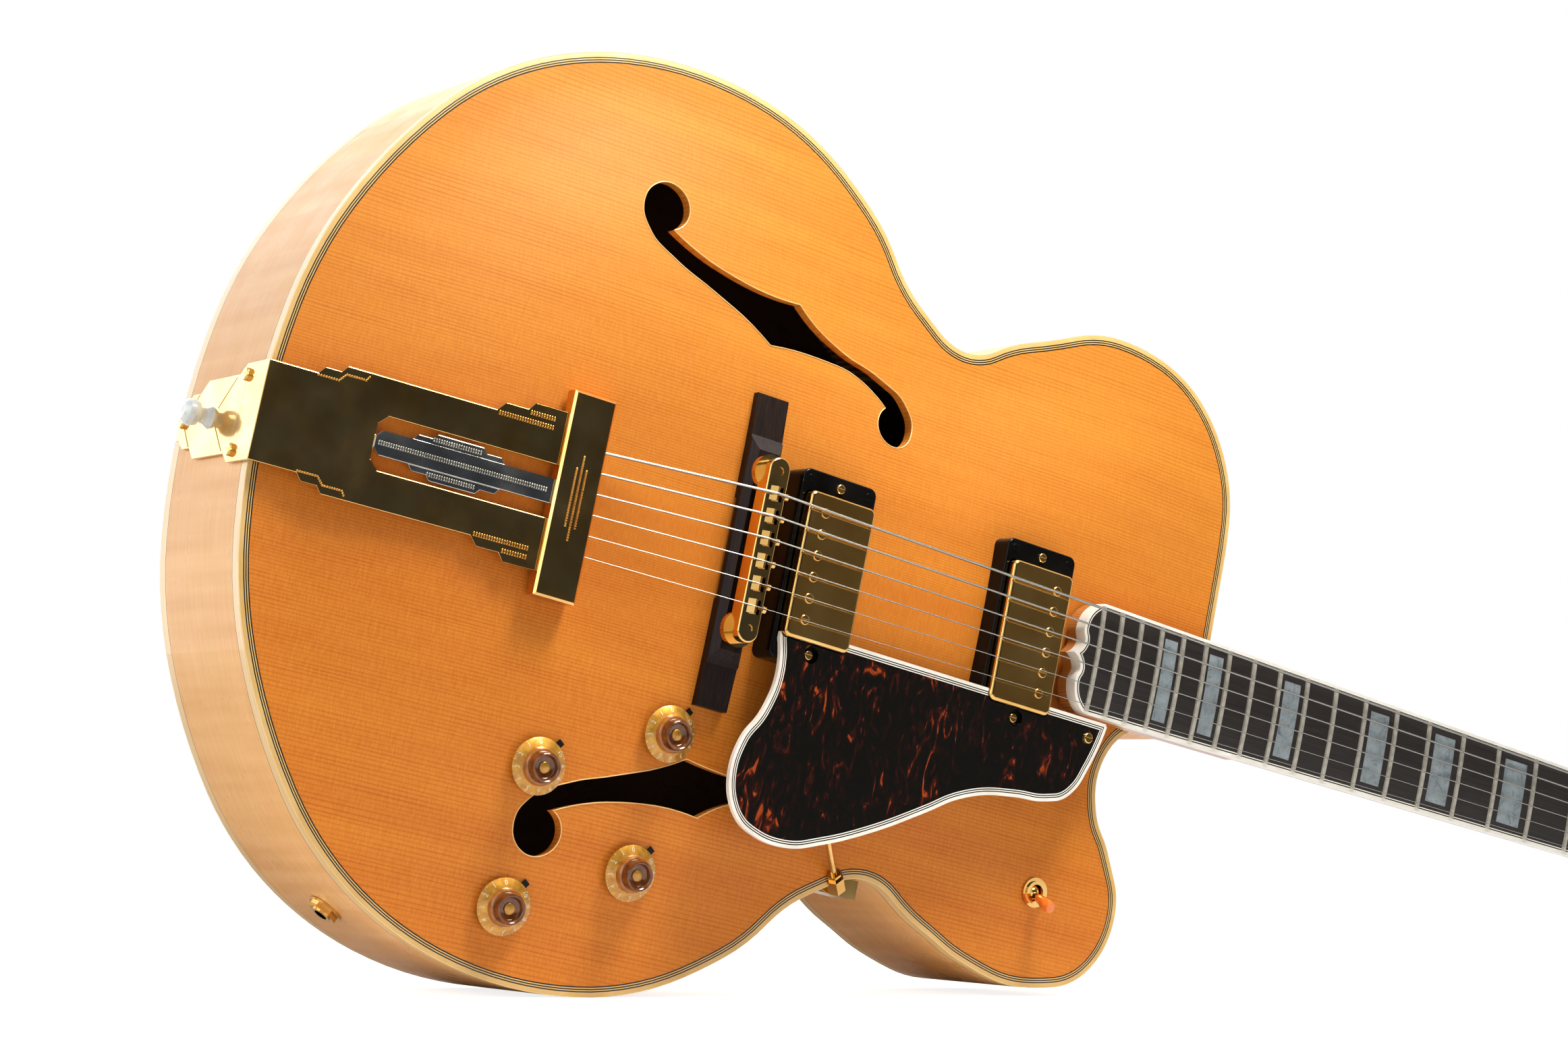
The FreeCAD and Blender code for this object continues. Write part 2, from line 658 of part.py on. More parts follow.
TUNER_SPOTS = tuner_spots()
CASE_TOP = -HEAD_THICK - OVERLAY_THICK
WORM_Z = CASE_TOP - CASE_TALL / 2
CASE_Y1 = 9.0
CASE_SCREW_Y = CASE_Y1 - CASE_LONG + 2.6
CASE_SCREW_LONG = 11.0
CASE_FLANGE = 2.0


def neck_pieces():
    shaft = Part.makeLoft([neck_section(x, board_half(x), deep) for x, deep in
                           ((SCALE + 8, NECK_NUT_DEEP), (BODY_JOIN - 12, NECK_HEEL_DEEP))], True, True)
    shaft = fused([placed(shaft, NECK), heel()])
    ahead = box(BODY_JOIN, SCALE + 2 * HEAD_LENGTH, -90, 90, -5 * DEEP, 4 * DEEP)
    shaft = shaft.common(ahead)
    cap_low = -RIM_DEPTH - HEEL_CAP_THICK
    heel_cap = shaft.common(box(0, SCALE, -90, 90, cap_low, -RIM_DEPTH))
    shaft = shaft.cut(box(0, SCALE, -90, 90, -300, -RIM_DEPTH))
    riser = placed(prism(board_wire(0), BOARD_LOW - RISER_THICK, BOARD_LOW)
                   .common(box(0, BODY_JOIN + 20, -60, 60, -60, 10)), NECK)
    riser = riser.cut(BELOW_TOP)
    plate = placed(prism(head_wire(), CASE_TOP, -OVERLAY_THICK), HEAD)
    beyond_nut = placed(box(SCALE + NUT_LONG, SCALE + 300, -90, 90, -300, 200), NECK)
    behind_nut = placed(box(0, SCALE + NUT_LONG, -90, 90, BOARD_LOW, 200), NECK)
    face_cut = placed(box(-60, HEAD_LENGTH + 20, -90, 90, -OVERLAY_THICK, 200), HEAD).common(beyond_nut)
    neck = shaft.fuse(plate).cut(Part.makeCompound([face_cut, behind_nut])).fuse(riser)
    overlay = placed(prism(head_wire(), -OVERLAY_THICK, 0), HEAD).cut(behind_nut)
    overlay = overlay.common(beyond_nut)
    drills = [placed(disc(BUSH_RADIUS + HOLE_CLEAR, CASE_TOP - 1, 5), s) for s in TUNER_SPOTS]
    screws = [placed(drill(1.2, CASE_SCREW_LONG), case_screw_spot(s)) for s in TUNER_SPOTS]
    truss = placed(disc(TRUSS_SCREW + HOLE_CLEAR, -8, 1), TRUSS_SPOTS[0])
    truss2 = placed(disc(TRUSS_SCREW + HOLE_CLEAR, -8, 1), TRUSS_SPOTS[1])
    neck = neck.cut(Part.makeCompound(drills + screws + [truss, truss2]))
    overlay = overlay.cut(Part.makeCompound(drills + [truss, truss2]))
    return {"neck": neck, "heel_cap": heel_cap, "headstock_overlay": overlay}


def case_screw_spot(spot):
    flat = FreeCAD.Placement(V(0, CASE_SCREW_Y, CASE_TOP - CASE_FLANGE), FreeCAD.Rotation(V(1, 0, 0), 180))
    return spot.multiply(flat)


TRUSS_SCREW = 1.0
TRUSS_LONG = 36.0
TRUSS_THICK = 1.6
TRUSS_X = 5.0
TRUSS_SPOTS = [HEAD.multiply(FreeCAD.Placement(V(TRUSS_X + x, 0, TRUSS_THICK), FreeCAD.Rotation()))
               for x in (4.0, TRUSS_LONG - 4.0)]


def truss_cover():
    half = 10.0
    side = [(TRUSS_X, half - 2), (TRUSS_X + 8, half), (TRUSS_X + 24, half - 4), (TRUSS_X + TRUSS_LONG, 0)]
    wire = Part.Wire(smooth(side) + smooth([(x, -y) for x, y in side[::-1]])
                     + lines([(side[0][0], -side[0][1]), side[0]]))
    cover = placed(prism(wire, 0, TRUSS_THICK), HEAD)
    return cover.cut(Part.makeCompound([placed(drill(TRUSS_SCREW, 6), s) for s in TRUSS_SPOTS]))


def board_pieces():
    inlays = []
    for n in INLAY_FRETS:
        a, b = FRET_X[n], FRET_X[n - 1]
        spare = (b - a) * (1 - INLAY_SHARE) / 2
        half = board_half((a + b) / 2) - INLAY_MARGIN
        block = box(a + spare, b - spare, -half, half, BOARD_TOP - 4, 1)
        inlays.append(crowned(block).cut(crowned(block, -INLAY_THICK)))
    core = crowned(board_block(BOARD_BINDING, BOARD_LOW, 1))
    outer = crowned(board_block(0, BOARD_LOW, 1)).cut(board_block(BOARD_BINDING, BOARD_LOW - 1, 2))
    line_at = BOARD_BINDING + BOARD_LINE_GAP
    line = board_block(line_at, -10, 1).cut(board_block(line_at + BOARD_LINE, -12, 2))
    line = crowned(line).cut(crowned(line, -BINDING_DEEP))
    board = core.cut(Part.makeCompound(inlays + [line]))
    frets = []
    for x in FRET_X[1:]:
        half = board_half(x) - BOARD_BINDING
        bar = box(x - FRET_WIDE / 2, x + FRET_WIDE / 2, -half, half, BOARD_TOP - 4, 1)
        frets.append(crowned(bar, FRET_TALL).cut(crowned(bar)))
    half = BOARD_NUT_WIDE / 2
    nut = box(SCALE, SCALE + NUT_LONG, -half, half, BOARD_LOW, NUT_TALL)
    out = {"fingerboard": board, "fingerboard_binding": Part.makeCompound([outer, line]),
           "position_inlays": Part.makeCompound(inlays), "frets": Part.makeCompound(frets)}
    out = {name: placed(shape, NECK) for name, shape in out.items()}
    grooves = [string_rod(i, STRING_CLEAR) for i in range(6)]
    out["nut"] = placed(nut, NECK).cut(Part.makeCompound(grooves))
    return out


# Tuners: post axis on the placement's Z, worm along its Y
def tuner_case():
    """Closed gear case behind the headstock, with its screw ear, and the bush from the front."""
    y0 = CASE_Y1 - CASE_LONG
    low = CASE_TOP - CASE_TALL
    case = box(-CASE_WIDE / 2, CASE_WIDE / 2 + 3, y0 + 6, CASE_Y1, low, CASE_TOP)
    ear = box(-3, 3, y0, y0 + 8, CASE_TOP - CASE_FLANGE, CASE_TOP)
    case = case.makeFillet(1.2, [e for e in case.Edges if e.BoundBox.ZMax < CASE_TOP - 0.1])
    room = disc(GEAR_RADIUS + 0.4, WORM_Z - GEAR_THICK / 2 - 0.4, WORM_Z + GEAR_THICK / 2 + 0.4)
    well = disc(POST_RADIUS + RUNNING_FIT, WORM_Z, CASE_TOP + 1)
    worm_room = Part.makeCylinder(WORM_RADIUS + 0.4, 9.0, V(WORM_OFFSET, -4.5, WORM_Z), V(0, 1, 0))
    bore = Part.makeCylinder(WORM_SHAFT_RADIUS + RUNNING_FIT, 20, V(WORM_OFFSET, -6.0, WORM_Z), V(0, 1, 0))
    hole = placed(drill(1.2, CASE_SCREW_LONG), case_screw_spot(FreeCAD.Placement()))
    case = fused([case, ear]).cut(Part.makeCompound([room, well, worm_room, bore, hole]))
    bush = disc(BUSH_RADIUS, CASE_TOP, 0).fuse(disc(BUSH_RADIUS + 2.2, 0, 1.6))
    return case, bush.cut(disc(POST_RADIUS + RUNNING_FIT, CASE_TOP - 1, 3))


def tuner_post():
    post = disc(POST_RADIUS, WORM_Z, POST_ABOVE)
    post = post.makeFillet(0.8, [e for e in post.Edges if e.BoundBox.ZMin > POST_ABOVE - 0.1])
    waist = disc(POST_RADIUS + 1, 8.0, 13.0).cut(disc(POST_RADIUS - 0.5, 7, 14))
    hole = Part.makeCylinder(0.9, 20, V(-10, 0, 10.5), V(1, 0, 0))
    gear = disc(GEAR_RADIUS, WORM_Z - GEAR_THICK / 2, WORM_Z + GEAR_THICK / 2)
    return post.fuse(gear).cut(Part.makeCompound([waist, hole]))


def tuner_button():
    y0 = CASE_Y1 + BUTTON_NECK - 3
    worm = Part.makeCylinder(WORM_RADIUS, 8.0, V(WORM_OFFSET, -4.0, WORM_Z), V(0, 1, 0))
    shaft = Part.makeCylinder(WORM_SHAFT_RADIUS, y0 + 10, V(WORM_OFFSET, -5.5, WORM_Z), V(0, 1, 0))
    neck = V(WORM_OFFSET, CASE_Y1 + 0.4, WORM_Z)
    collar = Part.makeCylinder(WORM_SHAFT_RADIUS + 1.4, BUTTON_NECK - 3.4, neck, V(0, 1, 0))
    half, wide = BUTTON_LONG / 2, BUTTON_WIDE
    side = [(0, 0), (half * 0.75, 1.2), (half, wide * 0.55), (half * 0.6, wide * 0.95), (0, wide)]
    wire = Part.Wire(smooth(side, start=(1, 0), end=(-1, 0))
                     + smooth([(-x, y) for x, y in side[::-1]], start=(-1, 0), end=(1, 0)))
    plate = prism(wire, -BUTTON_THICK / 2, BUTTON_THICK / 2)
    plate = plate.makeFillet(BUTTON_THICK * 0.3, [e for e in plate.Edges if abs(e.BoundBox.ZLength) < 1e-6])
    plate.translate(V(WORM_OFFSET, y0, WORM_Z))
    return fused([shaft, worm, collar, plate])


# Bridge
BASE_TOP = top_z(0, 0) + BASE_RIDGE_TALL
WHEEL_Z = BASE_TOP + WHEEL_GAP
BAR_LOW = WHEEL_Z + WHEEL_THICK
BAR_TOP = BAR_LOW + BAR_TALL
STRING_Z = FRET_HEIGHT + STRING_HEIGHT
POSTS_Y = (POST_SPACING / 2, -POST_SPACING / 2)


def bridge_base():
    half = BASE_LONG / 2
    inner = half - BASE_WING_LONG
    wing = top_z(0, inner) + BASE_FOOT_TALL - 1.0
    profile = [(-half, 0), (half, 0), (half, wing - 1.5), (inner, wing), (inner - 7, BASE_TOP),
               (7 - inner, BASE_TOP), (-inner, wing), (-half, wing - 1.5)]
    block = polygon([(y, z) for y, z in profile], -BASE_WIDE / 2, BASE_WIDE / 2)
    turn = FreeCAD.Placement(V(0, 0, 0), FreeCAD.Rotation(V(0, 1, 0), V(0, 0, 1), V(1, 0, 0), "ZXY"))
    block = placed(block, turn)
    slope = BASE_WIDE / 2 - BASE_RIDGE_WIDE / 2
    for s in (-1, 1):
        far = s * (BASE_WIDE / 2 + slope + 1)
        flank = polygon([(s * BASE_RIDGE_WIDE / 2, BASE_TOP + 1), (s * BASE_RIDGE_WIDE / 2, BASE_TOP),
                         (s * (BASE_WIDE / 2 + 0.01), wing + 1), (far, wing + 1), (far, BASE_TOP + 1)],
                        -inner, inner)
        block = block.cut(placed(flank, FreeCAD.Placement(V(0, 0, 0), FreeCAD.Rotation(V(1, 0, 0), 90))))
    between = box(-BASE_WIDE, BASE_WIDE, -24, 24, -5, top_z(0, 0) + 1.8)
    wells = [disc(BRIDGE_POST_RADIUS + 0.02, BASE_TOP - 5, BASE_TOP + 5, 0, y) for y in POSTS_Y]
    return block.cut(BELOW_TOP).cut(between).cut(Part.makeCompound(wells))


def thumbwheel(y):
    teeth = 60
    points = []
    for k in range(teeth):
        for share, radius in ((0.0, WHEEL_RADIUS), (0.5, WHEEL_RADIUS - 0.35)):
            a = 2 * math.pi * (k + share) / teeth
            points.append((radius * math.cos(a), radius * math.sin(a)))
    wheel = polygon(points, WHEEL_Z, WHEEL_Z + WHEEL_THICK)
    wheel = wheel.cut(disc(BRIDGE_POST_RADIUS + RUNNING_FIT, WHEEL_Z - 1, BAR_LOW + 1))
    wheel.translate(V(0, y, 0))
    return wheel


SADDLE_FLOOR = BAR_LOW + 3.0
SADDLE_SLOT_Y = STRING_SPREAD_BRIDGE / 2 + 5.0


def bridge_bar():
    half = BAR_LONG / 2
    r = BAR_WIDE / 2
    ends = [Part.Arc(V(r, half - r, 0), V(0, half, 0), V(-r, half - r, 0)).toShape(),
            Part.Arc(V(-r, r - half, 0), V(0, -half, 0), V(r, r - half, 0)).toShape()]
    sides = lines([(-r, half - r), (-r, r - half)]) + lines([(r, r - half), (r, half - r)])
    bar = prism(Part.Wire([ends[0], sides[0], ends[1], sides[1]]), BAR_LOW, BAR_TOP)
    rim_edges = [e for e in bar.Edges if e.BoundBox.ZMin > BAR_TOP - 0.01]
    bar = bar.makeFillet(0.9, rim_edges)
    cuts = [disc(BRIDGE_POST_RADIUS + RUNNING_FIT, BAR_LOW - 1, BAR_TOP + 1, 0, y) for y in POSTS_Y]
    slots = []
    for i in range(6):
        y = string_y(i, STRING_SPREAD_BRIDGE)
        slots.append(box(-SADDLE_LONG / 2 - 0.6, SADDLE_LONG / 2 + 0.6, y - SADDLE_WIDE / 2 - 0.05,
                         y + SADDLE_WIDE / 2 + 0.05, SADDLE_FLOOR, BAR_TOP + 1))
        slots.append(Part.makeCylinder(0.95, BAR_WIDE, V(0, y, BAR_TOP - 2.2), V(1, 0, 0)))
    return bar.cut(Part.makeCompound(cuts + slots))


def saddles():
    """Six saddles, each with its set screw through the bar's front wall."""
    out = []
    for i in range(6):
        y = string_y(i, STRING_SPREAD_BRIDGE)
        top = STRING_Z + SADDLE_SHOULDER
        half = SADDLE_LONG / 2
        roof = [(-half, SADDLE_FLOOR), (half, SADDLE_FLOOR), (half, BAR_TOP - 0.6), (0.2, top), (-0.2, top),
                (-half, BAR_TOP - 0.6)]
        block = polygon(roof, y - SADDLE_WIDE / 2, y + SADDLE_WIDE / 2)
        block = placed(block, FreeCAD.Placement(V(0, 2 * y, 0), FreeCAD.Rotation(V(1, 0, 0), 90)))
        hole = Part.makeCylinder(0.85, 20, V(-2.2, y, BAR_TOP - 2.2), V(1, 0, 0))
        stem = Part.makeCylinder(0.8, BAR_WIDE / 2 + 3.0, V(-2, y, BAR_TOP - 2.2), V(1, 0, 0))
        head = Part.makeCylinder(1.8, 1.8, V(BAR_WIDE / 2 + 0.2, y, BAR_TOP - 2.2), V(1, 0, 0))
        slot = box(BAR_WIDE / 2 + 1.3, BAR_WIDE / 2 + 4, y - 2, y + 2, BAR_TOP - 2.5, BAR_TOP - 1.9)
        out.append(block.cut(Part.makeCompound([hole, string_rod(i, STRING_CLEAR)])))
        out.append(stem.fuse(head).cut(slot))
    return Part.makeCompound(out)


def bridge_pieces():
    posts = [disc(BRIDGE_POST_RADIUS, BASE_TOP - 5, BAR_TOP - 0.6, 0, y) for y in POSTS_Y]
    return {"bridge_base": bridge_base(), "bridge_posts": Part.makeCompound(posts),
            "bass_thumbwheel": thumbwheel(POSTS_Y[0]), "treble_thumbwheel": thumbwheel(POSTS_Y[1]),
            "bridge_bar": bridge_bar(), "saddles": saddles()}


# Tailpiece frame: U along the sloping plate from the bend, Y across
TAIL_RUN = CROSSBAR_X - (TAIL_X - TAIL_GAP)
TAIL_SLOPE = math.degrees(math.atan2(CROSSBAR_Z - 3.0 - TAIL_BEND_Z, TAIL_RUN))
TAIL_U = math.hypot(TAIL_RUN, CROSSBAR_Z - 3.0 - TAIL_BEND_Z)
TAIL = FreeCAD.Placement(V(TAIL_X - TAIL_GAP, 0, TAIL_BEND_Z), FreeCAD.Rotation(V(0, 1, 0), -TAIL_SLOPE))


def both_sides(half_points):
    return list(half_points) + [(x, -y) for x, y in half_points[::-1]]


def tailpiece_frame():
    u_end = TAIL_U
    widths = (TAIL_BEND_HALF, TAIL_NECK_HALF, TAIL_ARM_HALF, TAIL_STEP_HALF, TAIL_WIDE_HALF)
    half = [(-TAIL_PLATE, TAIL_BEND_HALF)]
    for (a, b), narrow, wide in zip(TAIL_STEPS, widths, widths[1:]):
        half += [(a * u_end, narrow), (b * u_end, wide)]
    half.append((u_end + 3, TAIL_WIDE_HALF))
    plate = placed(polygon(both_sides(half), -TAIL_PLATE, 0), TAIL)
    s = TAIL_SLOT_HALF
    start = TAIL_SLOT_START * u_end
    slot_half = [(start, s - 4), (start + 4, s), (u_end + 5, s)]
    slot = placed(polygon(both_sides(slot_half), -9, 9), TAIL)
    low = -TAIL_LOW_Z
    wide = TAIL_BEND_HALF
    hang = [(-TAIL_BEND_Z, wide), (18.0, wide), (24.0, wide - 4.4), (low - 24.5, wide - 4.4),
            (low - 18.0, wide - 9.8), (low - 10.0, wide - 9.8), (low - 4.0, wide - 14.2),
            (low, wide - 14.2)]
    end = polygon(both_sides(hang), 0, TAIL_PLATE)
    upright = FreeCAD.Placement(V(TAIL_X - TAIL_GAP, 0, 0), FreeCAD.Rotation(V(0, 1, 0), 90))
    end = placed(placed(end, FreeCAD.Placement(V(0, 0, -TAIL_PLATE), FreeCAD.Rotation())), upright)
    ahead = box(CROSSBAR_X, CROSSBAR_X + 40, -60, 60, -60, 90)
    bend = fused([plate.cut(slot), end])
    return bend.cut(Part.makeCompound(tail_holes() + [ahead]))


def tailpiece_insert():
    a, b, c = INSERT_HALVES
    steps = zip(INSERT_AT, (a, b, c, b), (b, c, b, a))
    start, end = TAIL_SLOT_START * TAIL_U, TAIL_U
    room = end - start
    half = [(start, a - 3), (start + room * 0.035, a)]
    for share, near, far in steps:
        half += [(start + room * share, near), (start + room * (share + 0.023), far)]
    half.append((end + 3, a))
    rail = both_sides([half[0], half[1], half[-1]])
    ahead = box(CROSSBAR_X, CROSSBAR_X + 40, -60, 60, -60, 90)
    flat = polygon(both_sides(half), -TAIL_PLATE, 0).fuse(polygon(rail, -TAIL_PLATE, INSERT_RAIL))
    return placed(flat, TAIL).cut(ahead)


def string_tail(i):
    """Where a string leaves the crossbar's front."""
    return V(CROSSBAR_X + CROSSBAR_WIDE, string_y(i, STRING_SPREAD_TAIL), CROSSBAR_Z - 4.5)


def tailpiece_crossbar():
    bar = box(CROSSBAR_X, CROSSBAR_X + CROSSBAR_WIDE, -CROSSBAR_LONG / 2, CROSSBAR_LONG / 2,
              CROSSBAR_Z - CROSSBAR_TALL, CROSSBAR_Z)
    top_edges = [e for e in bar.Edges if e.BoundBox.ZMin > CROSSBAR_Z - 0.01]
    bar = bar.makeChamfer(1.0, top_edges)
    return bar.cut(Part.makeCompound([string_bore(i) for i in range(6)]))


def string_bore(i):
    tail, saddle = string_tail(i), string_saddle(i)
    along = (saddle - tail).normalize()
    radius = STRING_RADII[i] + STRING_HOLE_CLEAR
    return Part.makeCylinder(radius, STRING_HOLE_DEEP + 3, tail - along * STRING_HOLE_DEEP, along)


# Strings
def string_saddle(i):
    return V(0, string_y(i, STRING_SPREAD_BRIDGE), STRING_Z)


def string_nut(i):
    return NECK.multVec(V(SCALE + NUT_LONG / 2, string_y(i, STRING_SPREAD_NUT), STRING_NUT_HEIGHT))


def string_post(i):
    """End of the string, beside the waist of its post."""
    order = (0, 1, 2) if i < 3 else (5, 4, 3)
    spot = TUNER_SPOTS[order[i % 3]]
    centre = spot.multVec(V(0, 0, 9.0))
    reach = POST_RADIUS + STRING_RADII[i] + STRING_CLEAR
    side = spot.Rotation.multVec(V(0, -1, 0))
    return centre + side * reach


def rod(a, b, radius):
    return Part.makeCylinder(radius, (b - a).Length, a, b - a)


def string_points(i):
    tail, saddle = string_tail(i), string_saddle(i)
    along = (saddle - tail).normalize()
    return [tail - along * (STRING_HOLE_DEEP - 1), saddle, string_nut(i), string_post(i)]


def string_rod(i, grow=0.0):
    points = string_points(i)
    radius = STRING_RADII[i] + grow
    pieces = [rod(a, b, radius) for a, b in zip(points, points[1:])]
    pieces += [Part.makeSphere(radius, p) for p in points[1:-1]]
    return pieces[0].multiFuse(pieces[1:])


# Pickups
RING_ROOF = 1.2
RING_WALL = 2.0
TAB_TOP = RING_TOP - RING_ROOF - 0.9    # room to lift the pickup
TAB_THICK = 1.2


def pickup(i):
    x, top = PICKUP_X[i], PICKUP_TOP[i]
    cover = round_box(COVER_LONG, COVER_WIDE, top - COVER_TALL, top, COVER_CORNER, x)
    cover = cover.makeFillet(COVER_EDGE, [e for e in cover.Edges if e.BoundBox.ZMin > top - 0.01])
    side = -1 if i == 0 else 1
    px = x + side * POLE_OFFSET
    holes, poles = [], []
    for k in range(6):
        y = (k - 2.5) * POLE_PITCH
        holes.append(disc(POLE_RADIUS + RUNNING_FIT, top - 6, top + 5, px, y))
        pole = disc(POLE_RADIUS, top - 6, top + POLE_STAND, px, y)
        pole = pole.makeFillet(0.4, [e for e in pole.Edges if e.BoundBox.ZMin > top])
        poles.append(pole.cut(box(px - 3, px + 3, y - 0.4, y + 0.4, top + 0.1, top + 5)))
    tabs = []
    for s in (-1, 1):
        ends = sorted((s * (COVER_LONG / 2 - 2), s * (HEIGHT_SCREW_Y + 3)))
        tab = box(x - 4, x + 4, *ends, TAB_TOP - TAB_THICK, TAB_TOP)
        tabs.append(tab.cut(disc(HEIGHT_SCREW_RADIUS + HOLE_CLEAR, -60, 0, x, s * HEIGHT_SCREW_Y)))
    cover = fused([cover] + tabs).cut(Part.makeCompound(holes))
    return placed(Part.makeCompound([cover] + poles), NECK)


def pickup_ring(i):
    x = PICKUP_X[i]
    outer = round_box(RING_LONG, RING_WIDE, -40, RING_TOP, 4.0, x)
    outer = outer.makeFillet(0.9, [e for e in outer.Edges if e.BoundBox.ZMin > RING_TOP - 0.01])
    more = 2 * RING_CLEAR
    inner = round_box(COVER_LONG + more, COVER_WIDE + more, -50, 20, COVER_CORNER + RING_CLEAR, x)
    rooms = [inner]
    for s in (-1, 1):
        ends = sorted((s * (COVER_LONG / 2 - 1), s * (RING_LONG / 2 - RING_WALL)))
        rooms.append(box(x - 7, x + 7, *ends, -50, RING_TOP - RING_ROOF))
    body = placed(outer.cut(Part.makeCompound(rooms)), NECK).cut(BELOW_TOP)
    drills = [placed(drill(RING_SCREW_RADIUS, RING_SCREW_LONG), s) for s in RING_SPOTS]
    drills += [placed(drill(HEIGHT_SCREW_RADIUS, HEIGHT_SCREW_LONG), s) for s in HEIGHT_SPOTS]
    return body.cut(Part.makeCompound(drills))


# Finger rest
REST_NODES = [(20.1, -36.0), (22.7, -53.6), (18.8, -69.7), (10.0, -85.8), (7.5, -99.1), (10.1, -112.4),
              (17.4, -122.2), (30.0, -127.5), (47.3, -128.2), (67.5, -121.9), (94.0, -110.0),
              (120.4, -95.2), (136.4, -85.6), (152.0, -79.7), (170.0, -76.5), (189.9, -74.2),
              (200.3, -70.6), (206.8, -64.2), (212.2, -53.0), (219.1, -31.0)]
REST_UPPER_Y = -29.5
REST_SCREW = (208.3, -38.7)
REST_ROD = (70.0, -114.0)


def rest_wire(d):
    edges = smooth(REST_NODES)
    first, last = REST_NODES[0], REST_NODES[-1]
    wire = Part.Wire(edges + lines([last, (last[0] - 1, REST_UPPER_Y), (first[0], REST_UPPER_Y), first]))
    return wire if d == 0 else wire.makeOffset2D(-d)


def rest_block(d):
    return prism(rest_wire(d), REST_TOP - REST_THICK, REST_TOP)


def finger_rest_pieces():
    rims = [0.0]
    for ply in REST_PLIES:
        rims.append(rims[-1] + ply)
    blocks = [rest_block(d) for d in rims]
    rings = [a.cut(b) for a, b in zip(blocks, blocks[1:])]
    notches = []
    for x in PICKUP_X:
        clear = 2 * REST_CLEAR
        notches.append(round_box(COVER_LONG + clear, COVER_WIDE + clear, -30, 30, COVER_CORNER, x))
    notches += [disc(4.0, -30, 30, x, y) for x, y in height_screw_places()]
    notches.append(disc(1.4 + HOLE_CLEAR, -30, 30, *REST_SCREW))
    cut = Part.makeCompound(notches)
    white = [placed(r.cut(cut), NECK) for r in rings[::2]]
    dark = [placed(r.cut(cut), NECK) for r in rings[1::2]]
    plate = placed(blocks[-1].cut(cut), NECK)
    return {"finger_rest": Part.makeCompound([plate] + dark),
            "finger_rest_binding": Part.makeCompound(white)}


REST_POST_RADIUS = 4.0
RIM_CLEAR = 0.3


def finger_rest_bracket():
    """Rod from the rest to a foot on the waist, with two hexagon nuts, and a post at the neck end."""
    under = REST_TOP - REST_THICK
    top = NECK.multVec(V(*REST_ROD, under - 1.2))
    elbow = NECK.multVec(V(*REST_ROD, under - 4.0))
    end = V(WAIST_NODE[0] - 9.0, -WAIST_NODE[1] - 6.5, -4.0)
    arm = fused([disc(4.5, 0, 1.2), disc(ROD_RADIUS, -2.8, 0)])
    arm = placed(arm, FreeCAD.Placement(top, NECK.Rotation))
    run = fused([rod(elbow, end, ROD_RADIUS), Part.makeSphere(ROD_RADIUS, elbow)])
    turn = FreeCAD.Rotation(Z_UP, end - elbow)
    nut = placed(polygon(hexagon(4.6), -9, 0), FreeCAD.Placement(end, turn))
    small = placed(polygon(hexagon(3.5), -12, -9), FreeCAD.Placement(end, turn))
    foot = box(end.x - 12, end.x + 12, end.y - 3, end.y + 10, -18, -5)
    clear = prism(inset(-RIM_CLEAR), -RIM_DEPTH, RIM_CLEAR)
    cut = fused([arm, run, nut, small, foot]).cut(clear)
    holder = max(cut.Solids, key=lambda solid: solid.Volume)
    post = placed(disc(REST_POST_RADIUS, -60, under, *REST_SCREW), NECK).cut(BELOW_TOP)
    hole = placed(disc(1.4 + HOLE_CLEAR, under - 8, under + 1, *REST_SCREW), NECK)
    return holder, post.cut(hole)


# Controls
def revolve(profile):
    points = [V(r, 0, z) for r, z in profile]
    wire = Part.makePolygon(points + [points[0]])
    return Part.Face(wire).revolve(V(0, 0, 0), Z_UP, 360)


def knob(xy):
    r, g, h = KNOB_RADIUS, KNOB_GAP, KNOB_GAP + KNOB_TALL
    profile = [(0, g), (r - 0.5, g), (r, g + 0.4), (r, g + 1.2), (r * 0.685, g + 3.2), (r * 0.645, g + 5.4),
               (r * 0.575, g + 5.9), (r * 0.53, h - 0.6), (r * 0.49, h), (r * 0.43, h - 0.4),
               (r * 0.37, h - 2.6), (0, h - 2.9)]
    cap = revolve(profile)
    shaft = disc(SHAFT_RADIUS, -PLATE_THICK - 4, g + 1)
    room = disc(BUSHING_RADIUS + 3.4, g - 1, g + 2.1).cut(disc(SHAFT_RADIUS, g - 1, g + 3))
    return placed(cap.cut(room).fuse(shaft), on_top(*xy))


def potentiometer(xy):
    """Fixed part of a control: can, threaded bush, nut and pointer."""
    low = -PLATE_THICK - 0.6
    can = disc(POT_RADIUS, low - POT_TALL, low)
    bush = disc(BUSHING_RADIUS, low, KNOB_GAP + 1.6)
    bore = disc(SHAFT_RADIUS + RUNNING_FIT, low - 5, 20)
    washer = disc(BUSHING_RADIUS + 2.8, 0.3, 1.5)
    pointer = box(-1.6, 1.6, BUSHING_RADIUS, KNOB_RADIUS + 3.0, 0.9, 1.5)
    pointer = placed(pointer, FreeCAD.Placement(V(0, 0, 0), FreeCAD.Rotation(Z_UP, -35)))
    body = fused([can, bush, washer, pointer]).cut(bore)
    return placed(body, on_top(*xy))


SWITCH_BUSH = 5.6
SWITCH_BORE = 4.0
LEVER_RADIUS = 1.5
LEVER_LONG = 10.0
TIP_RADIUS = 3.1
TIP_LONG = 12.0
PIVOT_Z = -2.0
PIN_RADIUS = 0.9


